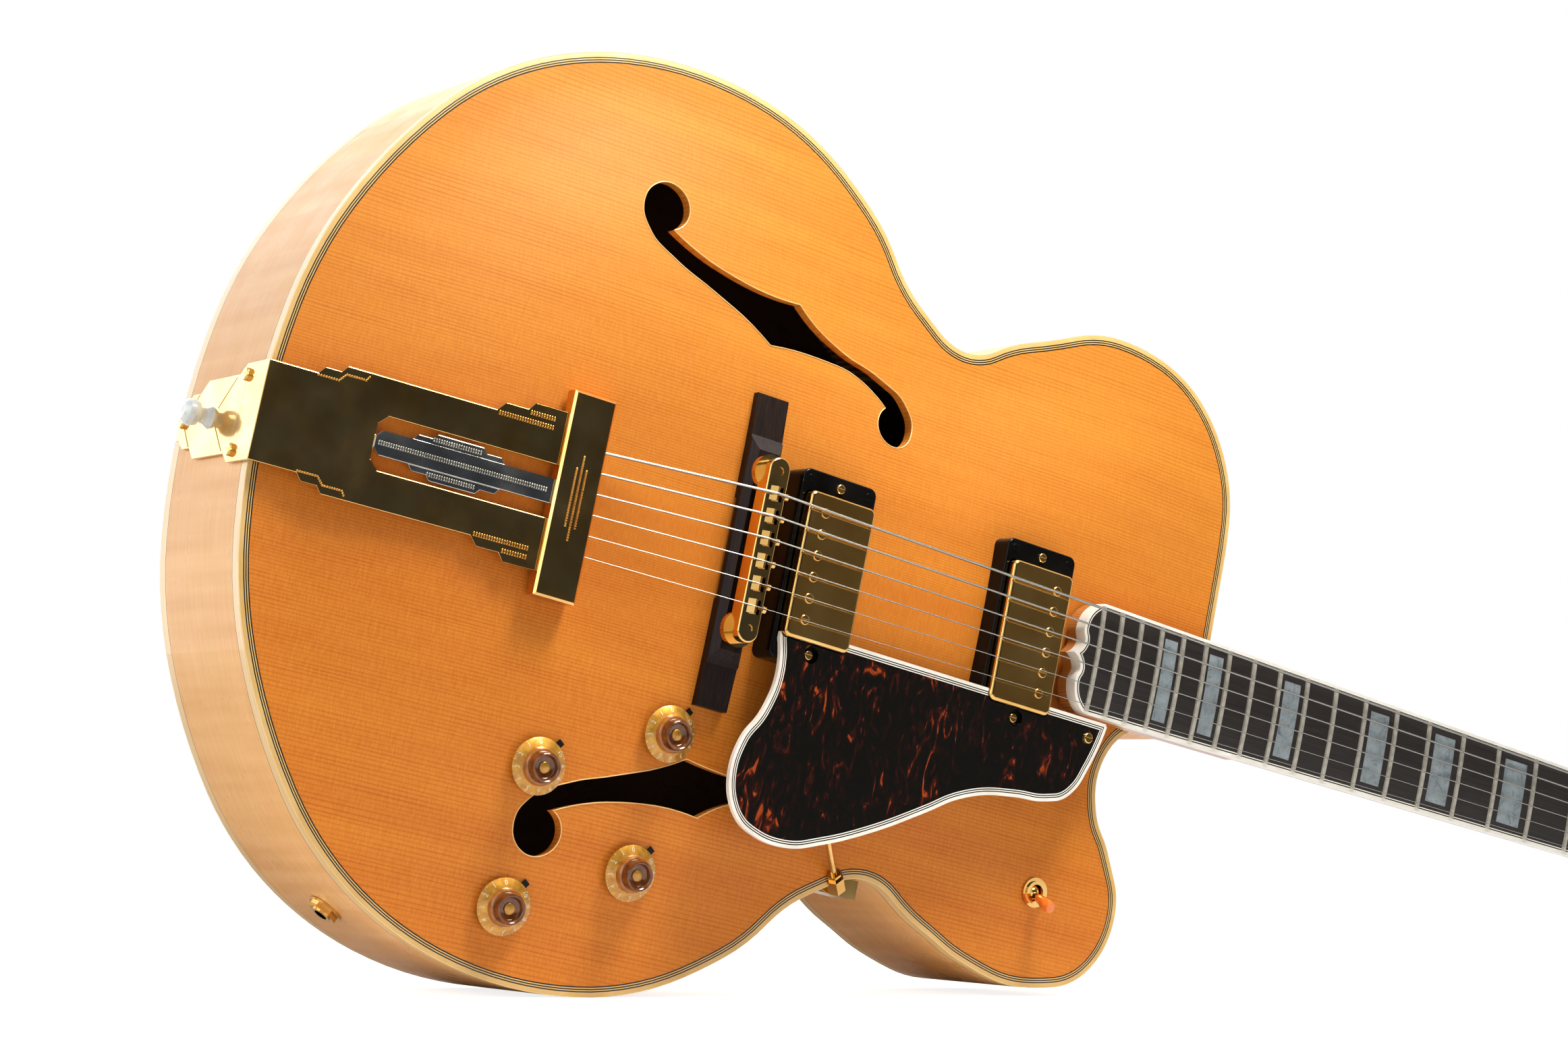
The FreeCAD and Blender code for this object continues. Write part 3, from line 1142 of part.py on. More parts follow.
def selector_switch():
    low = -PLATE_THICK - 1.2
    body = box(-9, 9, -12, 12, low - 16, low)
    bush = disc(SWITCH_BUSH, low, 2.4)
    washer = disc(SWITCH_RADIUS, 0.4, 1.4)
    bore = disc(SWITCH_BORE, low - 6, 10)
    pin = Part.makeCylinder(PIN_RADIUS + RUNNING_FIT, 2 * SWITCH_BUSH + 2, V(-SWITCH_BUSH - 1, 0, PIVOT_Z), V(1, 0, 0))
    return placed(fused([body, bush, washer]).cut(Part.makeCompound([bore, pin])), on_top(*SWITCH_XY))


def selector_lever():
    lean = FreeCAD.Placement(V(0, 0, PIVOT_Z), FreeCAD.Rotation(V(1, 0, 0), LEVER_LEAN))
    stem = disc(LEVER_RADIUS, -4, LEVER_LONG)
    ball = Part.makeSphere(SWITCH_BORE - RUNNING_FIT)
    pin = Part.makeCylinder(PIN_RADIUS, 2 * SWITCH_BUSH - 0.4, V(0.2 - SWITCH_BUSH, 0, 0), V(1, 0, 0))
    at = LEVER_LONG
    tip = revolve([(0, at - 3), (2.1, at - 3), (2.5, at), (TIP_RADIUS, at + 5), (TIP_RADIUS, at + 6.5),
                   (TIP_RADIUS * 0.8, at + 8.6), (0, at + 9.2)])
    return placed(fused([stem, ball, pin, tip]), on_top(*SWITCH_XY).multiply(lean))


def output_jack():
    """Socket through the rim: washer and nut outside, housing inside."""
    sleeve = disc(JACK_THREAD, -JACK_LONG + 4, 4)
    washer = disc(8.2, 0.1, 1.2)
    nut = polygon(hexagon(7.0), 1.2, 3.4)
    housing = disc(8.0, -RIM_THICK - 22, -RIM_THICK - 1.0)
    bore = disc(JACK_BORE, -JACK_LONG - 20, 10)
    return placed(fused([sleeve, washer, nut, housing]).cut(bore), JACK_SPOT)


def strap_button():
    r = STRAP_RADIUS
    profile = [(0, 0), (5.2, 0), (4.6, 1.4), (3.6, 3.0), (3.6, 5.0), (r * 0.86, 6.6), (r, 9.2),
               (r * 0.92, 11.6), (r * 0.62, 13.6), (0, 14.4)]
    return placed(revolve(profile).fuse(disc(STRAP_SHANK, -STRAP_SHANK_LONG, 1)), STRAP_SPOT)


def wiring():
    """Leads inside the body, from each control to the next and to the jack."""
    depth = -PLATE_THICK - POT_TALL - 2.0
    spots = [on_top(*xy).multVec(V(0, 0, depth)) for xy in (KNOBS[1], KNOBS[0], KNOBS[2], KNOBS[3])]
    jack = JACK_SPOT.multVec(V(0, 5.6, -RIM_THICK - 23.5))
    corner = V(jack.x, jack.y + 12, spots[2].z - 12)
    runs = list(zip(spots, spots[1:])) + [(spots[2], corner), (corner, jack)]
    return Part.makeCompound([fused([rod(a, b, 1.1) for a, b in runs]
                                    + [Part.makeSphere(1.1, p) for p in spots + [corner]])])


def gold_screws():
    out = [placed(screw(3.0, 2.0, TAIL_SCREW_RADIUS, TAIL_SCREW_LONG), s) for s in TAIL_SPOTS]
    out += [placed(screw(2.3, 1.2, HEIGHT_SCREW_RADIUS, HEIGHT_SCREW_LONG), s) for s in HEIGHT_SPOTS]
    out += [placed(screw(2.2, 1.2, 1.2, CASE_SCREW_LONG), case_screw_spot(s)) for s in TUNER_SPOTS]
    out += [placed(screw(2.0, 1.0, TRUSS_SCREW, 7.0), s) for s in TRUSS_SPOTS]
    rest = NECK.multiply(FreeCAD.Placement(V(*REST_SCREW, REST_TOP), FreeCAD.Rotation()))
    out.append(placed(screw(2.6, 1.2, 1.4, 8.0), rest))
    return Part.makeCompound(out)


def ring_screws():
    one = screw(1.9, 0.35, RING_SCREW_RADIUS, RING_SCREW_LONG)
    return Part.makeCompound([placed(one, s) for s in RING_SPOTS])


def guitar():
    pieces = body_pieces()
    pieces.update(neck_pieces())
    pieces.update(board_pieces())
    pieces["truss_rod_cover"] = truss_cover()
    case, bush = tuner_case()
    pieces["tuner_cases"] = Part.makeCompound([placed(case, s) for s in TUNER_SPOTS])
    pieces["tuner_bushes"] = Part.makeCompound([placed(bush, s) for s in TUNER_SPOTS])
    for k, spot in enumerate(TUNER_SPOTS):
        pieces["tuner_post_%d" % (k + 1)] = placed(tuner_post(), spot)
        pieces["tuner_button_%d" % (k + 1)] = placed(tuner_button(), spot)
    pieces.update(bridge_pieces())
    pieces["tailpiece_frame"] = tailpiece_frame()
    pieces["tailpiece_insert"] = tailpiece_insert()
    pieces["tailpiece_crossbar"] = tailpiece_crossbar()
    pieces["strings"] = Part.makeCompound([string_rod(i) for i in range(6)])
    pieces["bridge_pickup"] = pickup(0)
    pieces["neck_pickup"] = pickup(1)
    pieces["pickup_rings"] = Part.makeCompound([pickup_ring(0), pickup_ring(1)])
    pieces.update(finger_rest_pieces())
    pieces["finger_rest_bracket"] = Part.makeCompound(list(finger_rest_bracket()))
    for k, xy in enumerate(KNOBS):
        pieces["control_knob_%d" % (k + 1)] = knob(xy)
    pieces["potentiometers"] = Part.makeCompound([potentiometer(xy) for xy in KNOBS])
    pieces["selector_switch"] = selector_switch()
    pieces["selector_lever"] = selector_lever()
    pieces["output_jack"] = output_jack()
    pieces["strap_button"] = strap_button()
    pieces["wiring"] = wiring()
    pieces["gold_screws"] = gold_screws()
    pieces["ring_screws"] = ring_screws()
    return pieces


# Standing pose: the lower bout and the last treble button are level
def lowest(points, lean):
    s, c = math.sin(lean), math.cos(lean)
    return min(y * c - x * s for x, y in points)


def standing(pieces):
    button = pieces["tuner_button_6"]
    reach = [(p.x, p.y) for p in button.tessellate(0.2)[0]]
    low, high = 0.0, math.radians(30)
    for _ in range(40):
        lean = (low + high) / 2
        if lowest(reach, lean) > lowest(BODY_POINTS, lean):
            low = lean
        else:
            high = lean
    turn = FreeCAD.Rotation(V(math.cos(lean), 0, -math.sin(lean)), V(math.sin(lean), 0, math.cos(lean)),
                            V(0, -1, 0), "XYZ")
    pose = FreeCAD.Placement(V(0, 0, 0), turn)
    bounds = FreeCAD.BoundBox()
    for shape in pieces.values():
        bounds.add(placed(shape, pose).optimalBoundingBox(False))
    shift = V(-bounds.Center.x, -bounds.Center.y, -bounds.ZMin)
    return FreeCAD.Placement(shift, FreeCAD.Rotation()).multiply(pose)


if __name__ == "__main__":
    os.makedirs("parts", exist_ok=True)
    PIECES = guitar()
    STAND = standing(PIECES)
    for name, shape in PIECES.items():
        placed(shape, STAND).exportStep("parts/%s.step" % name)
    print(len(PIECES), "pieces written")
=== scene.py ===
# %% [markdown]
# # An archtop guitar
# The solids of the guitar are made elsewhere and load here as a fixed frame, in metres. This lesson gives each of
# them its finish, and adds the pieces whose detail is too fine for the solids: the lines round the top's edge and
# its sound holes, the numbered knobs, the rope lines of the tailpiece, and the wound strings.

# %% Load the frame
import json
import math
import bmesh
import bpy
from mathutils import Matrix, Vector


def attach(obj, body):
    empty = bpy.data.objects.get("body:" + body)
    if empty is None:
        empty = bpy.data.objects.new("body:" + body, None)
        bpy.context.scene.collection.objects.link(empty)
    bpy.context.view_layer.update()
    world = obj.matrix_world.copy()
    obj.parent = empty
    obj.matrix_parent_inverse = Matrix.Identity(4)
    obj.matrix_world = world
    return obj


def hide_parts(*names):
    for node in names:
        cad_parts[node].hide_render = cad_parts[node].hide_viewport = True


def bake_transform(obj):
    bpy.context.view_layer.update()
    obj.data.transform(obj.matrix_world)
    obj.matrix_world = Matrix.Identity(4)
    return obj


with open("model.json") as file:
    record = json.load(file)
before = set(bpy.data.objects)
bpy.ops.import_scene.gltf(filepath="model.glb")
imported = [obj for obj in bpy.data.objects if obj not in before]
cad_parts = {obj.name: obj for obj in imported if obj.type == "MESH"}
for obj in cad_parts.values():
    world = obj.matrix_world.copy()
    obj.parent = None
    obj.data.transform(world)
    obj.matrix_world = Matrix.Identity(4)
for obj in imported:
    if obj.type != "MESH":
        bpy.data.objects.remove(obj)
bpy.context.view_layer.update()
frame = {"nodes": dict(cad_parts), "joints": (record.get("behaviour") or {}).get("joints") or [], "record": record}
nodes = frame["nodes"]
scene = bpy.context.scene

# %% [markdown]
# ## The guitar's own axes
# A maker measures a guitar from the bridge: along the strings, across them, and out of the top. The guitar stands
# on its side here, so those axes are read from its joints and mounts: the bridge lifts straight out of the top, and
# the strap button points away from the neck. They could be typed in as numbers, but read off they stay right if the
# guitar is set down another way. Every later size is then in millimetres in these axes.

# %% Guitar axes
joints = {joint["name"]: joint for joint in frame["joints"]}
mounts = {mount["name"]: mount for mount in frame["record"]["mounts"]}
MILLIMETRES = Matrix.Scale(0.001, 4)
FRET_HEIGHT = 35.0
NECK_ANGLE = 3.0
WHEEL_MIDDLE = 26.6
out = Vector(joints["bridge_lift"]["axis"]).normalized()
along = -Vector(mounts["strap_button"]["axis"]).normalized()
turn = Matrix((along, out.cross(along), out)).transposed()
wheels = [Vector(joints[side + "_thumbwheel_turn"]["pos_m"]) for side in ("bass", "treble")]
origin = (wheels[0] + wheels[1]) / 2 - out * WHEEL_MIDDLE / 1000
GUITAR = Matrix.Translation(origin) @ turn.to_4x4() @ MILLIMETRES
NECK = GUITAR @ Matrix.Translation((0, 0, FRET_HEIGHT)) @ Matrix.Rotation(math.radians(NECK_ANGLE), 4, "Y")
to_guitar = GUITAR.inverted()
print("bridge at", [round(v, 4) for v in origin])


def spot(x, y, z):
    """A point of the guitar, given in millimetres, in the scene."""
    return GUITAR @ Vector((x, y, z))


# %% [markdown]
# ## The camera
# A camera can be matched to a photograph by eye, but a guitar measures it: the spacing of the frets is known, so only
# one place and one lens show their ends as the photograph does. The values are the camera's position and its right
# and up directions in the guitar's axes, and the lens in pixels of the photograph.

# %% Camera
PHOTO_WIDTH = 2324
LENS_PIXELS = 5353.66
SENSOR = 36.0
CAMERA_PLACE = (-823.205, -286.791, 1427.298)
CAMERA_RIGHT = (0.823547, 0.192573, 0.533559)
CAMERA_UP = (-0.259166, 0.964435, 0.051936)
camera = bpy.data.objects.new("camera", bpy.data.cameras.new("camera"))
scene.collection.objects.link(camera)
right, up = turn @ Vector(CAMERA_RIGHT), turn @ Vector(CAMERA_UP)
pose = Matrix((right, up, right.cross(up))).transposed().to_4x4()
pose.translation = spot(*CAMERA_PLACE)
camera.matrix_world = pose
camera.data.sensor_width = SENSOR
camera.data.lens = SENSOR * LENS_PIXELS / PHOTO_WIDTH
camera.data.clip_end = 50
scene.camera = camera
print("camera at", [round(v, 3) for v in pose.translation], "lens", round(camera.data.lens, 1))

# %% [markdown]
# ## Nodes
# The studio and all finishes are made of shader nodes. In the editor they are placed and linked one by one. Here a
# helper makes a node with its settings and inputs, so that a recipe stays short. An input is a value, a screen
# colour such as E39A44, or another node's output to link. Two more helpers give the result of a Math or a Vector
# Math node in one line.

# %% Node helpers


def tone(code):
    """A screen colour such as E39A44 as linear light."""
    channels = []
    for i in (0, 2, 4):
        c = int(code[i:i + 2], 16) / 255
        channels.append(c / 12.92 if c <= 0.04045 else ((c + 0.055) / 1.055) ** 2.4)
    return (*channels, 1.0)


def set_inputs(tree, node, inputs):
    """Gives a node its inputs: values, screen colours, or other nodes' outputs."""
    for key, value in inputs.items():
        if hasattr(value, "is_output"):
            tree.links.new(value, node.inputs[key])
        else:
            node.inputs[key].default_value = tone(value) if isinstance(value, str) else value


def add_node(tree, kind, inputs=None, **settings):
    """A new node with its settings and inputs."""
    made = tree.nodes.new(kind)
    for key, value in settings.items():
        setattr(made, key, value)
    set_inputs(tree, made, inputs or {})
    return made


def maths(tree, operation, *values):
    """The result of a Math node."""
    return add_node(tree, "ShaderNodeMath", dict(enumerate(values)), operation=operation).outputs[0]


def vector_maths(tree, operation, *values):
    """The result of a Vector Math node."""
    made = add_node(tree, "ShaderNodeVectorMath", dict(enumerate(values)), operation=operation)
    return made.outputs["Value" if operation == "DOT_PRODUCT" else "Vector"]


def shader_material(name):
    """A new material, its node tree and its main shader."""
    material = bpy.data.materials.new(name)
    material.use_nodes = True
    return material, material.node_tree, material.node_tree.nodes["Principled BSDF"]


print("the middle grey 808080 is", round(tone("808080")[0], 3), "as light")

# %% [markdown]
# ## World and floor
# The picture was taken in a plain white studio. A bright world would give the white background, but it would wash out
# the guitar's colours. So the world is white where the camera, a mirror or glass looks at it, and dimmer as a lamp.
# The floor is a wide pale sheet that shines a little where the camera sees it, so that it runs into the white world,
# and it still takes the guitar's shadow.

# %% World and floor
WORLD_FILL = 0.27
PAPER_GREY = (0.8, 0.8, 0.8, 1)
PAPER_SHINE = 0.82
world = bpy.data.worlds.new("studio")
scene.world = world
scene.view_settings.view_transform = "Standard"
world.use_nodes = True
sky = world.node_tree
sky.nodes.clear()
path = add_node(sky, "ShaderNodeLightPath").outputs
seen = maths(sky, "MAXIMUM", path["Is Camera Ray"], path["Is Glossy Ray"])
seen = maths(sky, "MAXIMUM", seen, path["Is Transmission Ray"])
level = add_node(sky, "ShaderNodeMapRange", {"Value": seen, "To Min": WORLD_FILL, "To Max": 1.0})
glow = add_node(sky, "ShaderNodeBackground", {"Color": "FFFFFF", "Strength": level.outputs[0]})
add_node(sky, "ShaderNodeOutputWorld", {0: glow.outputs[0]})


def studio_sheet(name, size, place, facing):
    """A flat sheet of the studio, facing a direction."""
    mesh = bpy.data.meshes.new(name)
    bm = bmesh.new()
    bmesh.ops.create_grid(bm, x_segments=1, y_segments=1, size=size / 2)
    bm.to_mesh(mesh)
    bm.free()
    sheet = bpy.data.objects.new(name, mesh)
    scene.collection.objects.link(sheet)
    sheet.matrix_world = Matrix.Translation(place) @ Vector(facing).to_track_quat("Z", "Y").to_matrix().to_4x4()
    return sheet


floor = studio_sheet("floor", 14.0, (0, 0, 0), (0, 0, 1))
paper, tree, shader = shader_material("floor_paper")
camera_ray = add_node(tree, "ShaderNodeLightPath").outputs["Is Camera Ray"]
set_inputs(tree, shader, {"Base Color": PAPER_GREY, "Roughness": 0.9, "Emission Color": "FFFFFF",
                          "Emission Strength": maths(tree, "MULTIPLY", camera_ray, PAPER_SHINE)})
floor.data.materials.append(paper)
print("world lights at", WORLD_FILL, "and floor at height", floor.location.z)

# %% [markdown]
# ## Mirror sheets
# Polished metal looks like what stands around it, and in a white world it would look white. Four sheets are seen by
# mirror reflections alone, so that they change the metal and not the light on the wood. A dark screen in front, with
# a darker one for the tailpiece, gives the metal the deep tone that it has in a real studio. A bright one above lays
# the golden glare on the lacquer, and another behind the tail lights up the end plate.

# %% Mirror sheets


def mirror_sheet(name, size, place, facing, light):
    """A glowing sheet that only mirror reflections see."""
    sheet = studio_sheet(name, size, place, facing)
    material, tree, shader = shader_material(name)
    set_inputs(tree, shader, {"Base Color": "000000", "Specular IOR Level": 0.0,
                              "Emission Color": (*light, 1), "Emission Strength": 1.0})
    sheet.data.materials.append(material)
    for ray in ("camera", "diffuse", "shadow", "transmission"):
        setattr(sheet, "visible_" + ray, False)


SCREEN_TILT = turn @ Vector((0.28, 0.12, 0.95))
mirror_sheet("dark_screen", 3.6, spot(1050, 160, 1900), -SCREEN_TILT, (0.11, 0.102, 0.085))
mirror_sheet("black_screen", 1.9, spot(330, 300, 1850), -out, (0.048, 0.054, 0.066))
mirror_sheet("glare_sheet", 0.6, (0.06, -0.9, 1.2), (-0.34, 0.9, -0.85), (22.0, 20.0, 16.0))
mirror_sheet("bright_backdrop", 1.3, (-0.95, 1.0, 0.45), (0.3, -0.95, 0), (3.0, 3.0, 3.0))

# %% [markdown]
# ## Lamps
# One soft lamp hangs close above and in front, so that the upper edge is brighter than the lower one. Alone it would
# leave the sides dark, so a second, wide one lights the rim from the tail's side, and a third the back.

# %% Lamps


def soft_lamp(name, place, target, size, watts):
    """A soft square lamp that looks at a target."""
    lamp = bpy.data.objects.new(name, bpy.data.lights.new(name, "AREA"))
    lamp.data.size = size
    lamp.data.energy = watts
    look = (Vector(target) - Vector(place)).to_track_quat("-Z", "Y")
    lamp.matrix_world = Matrix.Translation(place) @ look.to_matrix().to_4x4()
    scene.collection.objects.link(lamp)


soft_lamp("key_lamp", (-0.05, -0.4, 1.1), (-0.27, 0, 0.34), 0.36, 17.2)
soft_lamp("tail_lamp", (-1.7, -0.2, 0.7), (-0.5, 0, 0.2), 1.2, 8)
soft_lamp("back_lamp", (0.1, 1.7, 1.3), (-0.25, 0, 0.25), 1.6, 8)
print("lamps", [(lamp.name, lamp.energy) for lamp in bpy.data.lights])

# %% [markdown]
# ## Shared effects
# Two effects come back in many finishes: the faint smears that hands leave on gloss, and the lines of wood. Copies
# of their nodes would soon differ, so each is a node group, built once and placed in each material with its own
# values. The wood lines mirror each other about the middle joint and lie wider apart towards the edges, as in two
# halves cut from one board.

# %% Shared node groups
LINE_STRETCH = (0.012, 1.0, 0.3)
LINE_POWER = 0.74
LINE_SPREAD = 3.1
WOOD_CLOUDS = {"Bands": ((0.004, 0.05, 0.02), 2), "Patches": ((0.02, 0.16, 0.1), 3), "Silk": ((1.5, 0.2, 0.4), 3)}


def node_group(name, inputs, outputs):
    """A new node group, with the outputs of its first node and its last node."""
    made = bpy.data.node_groups.new(name, "ShaderNodeTree")
    for label in inputs:
        kind = "NodeSocketVector" if label == "Vector" else "NodeSocketFloat"
        made.interface.new_socket(label, in_out="INPUT", socket_type=kind)
    for label in outputs:
        made.interface.new_socket(label, in_out="OUTPUT", socket_type="NodeSocketFloat")
    return made, made.nodes.new("NodeGroupInput").outputs, made.nodes.new("NodeGroupOutput")


SMEAR, given, result = node_group("hand_smear", ("Vector", "Low", "High"), ("Roughness",))
cloud = add_node(SMEAR, "ShaderNodeTexNoise", {"Vector": given["Vector"], "Scale": 0.06, "Detail": 4.0})
span = add_node(SMEAR, "ShaderNodeMapRange", {"Value": cloud.outputs["Fac"], "From Min": 0.35, "From Max": 0.7,
                                              "To Min": given["Low"], "To Max": given["High"]})
set_inputs(SMEAR, result, {"Roughness": span.outputs[0]})

GRAIN, given, result = node_group("wood_lines", ("Vector",), ("Lines", *WOOD_CLOUDS))
stretched = vector_maths(GRAIN, "MULTIPLY", given["Vector"], LINE_STRETCH)
board = add_node(GRAIN, "ShaderNodeSeparateXYZ", {0: stretched}).outputs
half = maths(GRAIN, "POWER", maths(GRAIN, "ABSOLUTE", board["Y"]), LINE_POWER)
half = maths(GRAIN, "MULTIPLY", half, LINE_SPREAD)
halves = add_node(GRAIN, "ShaderNodeCombineXYZ", {"X": board["X"], "Y": half, "Z": board["Z"]})
rings = add_node(GRAIN, "ShaderNodeTexWave", {"Vector": halves.outputs[0], "Scale": 0.25, "Distortion": 3.4,
                                              "Detail": 2.0, "Detail Scale": 1.3}, bands_direction="Y")
set_inputs(GRAIN, result, {"Lines": rings.outputs["Fac"]})
for label, (scale, detail) in WOOD_CLOUDS.items():
    stretched = vector_maths(GRAIN, "MULTIPLY", given["Vector"], scale)
    cloud = add_node(GRAIN, "ShaderNodeTexNoise", {"Vector": stretched, "Scale": 1.0, "Detail": detail})
    set_inputs(GRAIN, result, {label: cloud.outputs["Fac"]})
print("node groups", [made.name for made in bpy.data.node_groups])

# %% [markdown]
# ## Finishes
# A finish is one material. All of them need the same few steps: a place on the guitar in millimetres, a noise, a
# ramp of colours along it, and a mix of two. A small class keeps the material and its node tree together, so that
# each finish reads as a short recipe. Positions come from Object coordinates, which stay with the piece as it moves.

# %% Finish recipes


class Finish:
    """A material in the making: its node tree and its main shader."""

    def __init__(self, name, roughness=0.3, metallic=0.0, coat=0.0, coat_roughness=0.06, specular=0.5):
        self.material, self.tree, self.shader = shader_material(name)
        self.surface({"Roughness": roughness, "Metallic": metallic, "Coat Weight": coat,
                      "Coat Roughness": coat_roughness, "Specular IOR Level": specular})

    def surface(self, inputs):
        """Sets or links inputs of the main shader."""
        set_inputs(self.tree, self.shader, inputs)

    def colour(self, source):
        self.surface({"Base Color": source})

    def node(self, kind, inputs=None, **settings):
        return add_node(self.tree, kind, inputs, **settings)

    def maths(self, operation, *values):
        return maths(self.tree, operation, *values)

    def vectors(self, operation, *values):
        return vector_maths(self.tree, operation, *values)

    def parts(self, vector):
        """The X, Y and Z of a vector."""
        return self.node("ShaderNodeSeparateXYZ", {0: vector}).outputs

    def place(self, matrix=None, scale=None):
        """Object coordinates turned into the guitar's axes, in millimetres, then stretched."""
        inverse = (matrix or GUITAR).inverted()
        mapping = self.node("ShaderNodeMapping", {
            "Vector": self.node("ShaderNodeTexCoord").outputs["Object"], "Location": inverse.translation,
            "Rotation": (inverse.to_3x3() * 0.001).to_euler(), "Scale": (1000, 1000, 1000)})
        if scale is None:
            return mapping.outputs[0]
        return self.vectors("MULTIPLY", mapping.outputs[0], scale)

    def noise(self, vector, scale, detail=2.0, rough=0.5, distortion=0.0):
        return self.node("ShaderNodeTexNoise", {"Vector": vector, "Scale": scale, "Detail": detail,
                                                "Roughness": rough, "Distortion": distortion}).outputs["Fac"]

    def ramp(self, factor, *stops):
        """Colours along a factor, from stops of a position and a colour."""
        made = self.node("ShaderNodeValToRGB", {0: factor})
        elements = made.color_ramp.elements
        while len(elements) < len(stops):
            elements.new(0.5)
        for element, (at, colour) in zip(elements, stops):
            element.position = at
            element.color = tone(colour) if isinstance(colour, str) else colour
        return made.outputs["Color"]

    def clouded(self, dark, light, scale, detail=2.0, low=0.3, stretch=None):
        """A colour that wanders between two tones in soft clouds."""
        return self.ramp(self.noise(self.place(scale=stretch), scale, detail), (low, dark), (0.7, light))

    def mix(self, factor, a, b, blend="MIX"):
        made = self.node("ShaderNodeMix", data_type="RGBA", blend_type=blend)
        set_inputs(self.tree, made, {0: factor, 6: a, 7: b})
        return made.outputs[2]

    def band(self, value, places, half):
        """One where a value lies within half a width of any of the places, else zero."""
        total = None
        for at in places:
            near = self.maths("COMPARE", value, at, half)
            total = near if total is None else self.maths("MAXIMUM", total, near)
        return total

    def bump(self, height, strength):
        """A fine relief of the surface."""
        made = self.node("ShaderNodeBump", {"Height": height, "Strength": strength, "Distance": 0.0001})
        self.surface({"Normal": made.outputs[0]})

    def smear(self, low, high):
        """Roughness that wanders between two values, as on handled gloss."""
        made = self.node("ShaderNodeGroup", node_tree=SMEAR)
        set_inputs(self.tree, made, {"Vector": self.place(), "Low": low, "High": high})
        self.surface({"Roughness": made.outputs["Roughness"]})

    def grain(self):
        """The lines, bands, patches and silk of wood along the neck."""
        made = self.node("ShaderNodeGroup", node_tree=GRAIN)
        set_inputs(self.tree, made, {"Vector": self.place()})
        return made.outputs


def dress(finish, *names):
    """Gives a finish to nodes of the frame."""
    for name in names:
        data = nodes[name].data
        data.materials.clear()
        data.materials.append(finish.material)


print("finish recipes", [step for step in vars(Finish) if not step.startswith("_")])

# %% [markdown]
# ## The spruce top
# The top is spruce: close straight lines along the neck, broad warm bands, and a faint shimmer across them, under a
# clear gloss. The lines show in some patches and fade in others. The bass side, which is uppermost as the guitar
# stands, is painted a little paler and yellower: painted light, for the stronger light that falls there. A picture of
# wood could be laid on it, but nodes have no seams and keep the lines straight over the arch.

# %% Spruce top
FAINT, CLEAR = (0.35, 0.35, 0.35, 1), (0.85, 0.85, 0.85, 1)
LIGHT_PAINT_FROM, LIGHT_PAINT_TO = -30.0, 130.0
LIGHT_PAINT_SHARE = 0.3
spruce = Finish("spruce_lacquer", 0.45, coat=0.16, coat_roughness=0.32, specular=0.12)
wood = spruce.grain()
bands_tone = spruce.ramp(wood["Bands"], (0.32, "C96E20"), (0.68, "DA8429"))
silk_tone = spruce.ramp(wood["Silk"], (0.36, "C86E23"), (0.66, "DB8930"))
# Painted light: towards the bass side, the top's colour is mixed with a paler yellow, for the light that falls there.
painted_light_side = spruce.node("ShaderNodeMapRange", {
    "Value": spruce.parts(spruce.place())["Y"], "From Min": LIGHT_PAINT_FROM, "From Max": LIGHT_PAINT_TO,
    "To Min": 0.0, "To Max": LIGHT_PAINT_SHARE}, interpolation_type="SMOOTHSTEP").outputs[0]
wood_and_light_tone = spruce.mix(painted_light_side, spruce.mix(0.45, bands_tone, silk_tone), "E39C3A")
lines_tone = spruce.ramp(wood["Lines"], (0.58, "FFFFFF"), (0.96, "E6D4C0"))
clearness = spruce.ramp(wood["Patches"], (0.35, FAINT), (0.65, CLEAR))
spruce.colour(spruce.mix(clearness, wood_and_light_tone, lines_tone, "MULTIPLY"))
spruce.smear(0.4, 0.5)
dress(spruce, "top_plate")
print("spruce nodes", len(spruce.tree.nodes))

# %% [markdown]
# ## The maple rim
# The rim is maple, paler, with soft flame bars across its bend and a thin dark line beside each binding. A pattern of
# stripes would look painted, so the flame is a noise. It is drawn out over the depth of the rim, so that its bars
# stand upright all the way round.

# %% Maple rim
RIM_LINES = (-6.0, -80.0)
RIM_LINE_HALF = 0.35
maple = Finish("flamed_maple", 0.4, specular=0.1)
flame = maple.noise(maple.place(scale=(0.11, 0.11, 0.006)), 1.0)
pores = maple.noise(maple.place(scale=(0.03, 0.03, 0.8)), 1.0, 3.0)
flame_tone = maple.ramp(flame, (0.3, "E5A661"), (0.7, "F6BE7C"))
pores_tone = maple.ramp(pores, (0.35, "DA9A56"), (0.65, "F8C484"))
is_line = maple.band(maple.parts(maple.place())["Z"], RIM_LINES, RIM_LINE_HALF)
maple.colour(maple.mix(is_line, maple.mix(0.25, flame_tone, pores_tone), "4A2C18"))
maple.smear(0.26, 0.36)
dress(maple, "rim")
print("rim lines at", RIM_LINES, "mm")

# %% [markdown]
# ## The matched back
# The back is maple in two halves, opened like a book, so that their slanted flame bars mirror each other about the
# middle joint: the pattern reads the distance from the middle. The inside face, seen through the sound holes, is
# painted dark brown: painted shade, for the shade inside the closed body. Two materials on one solid would need its
# faces sorted, so the direction of a face decides instead.

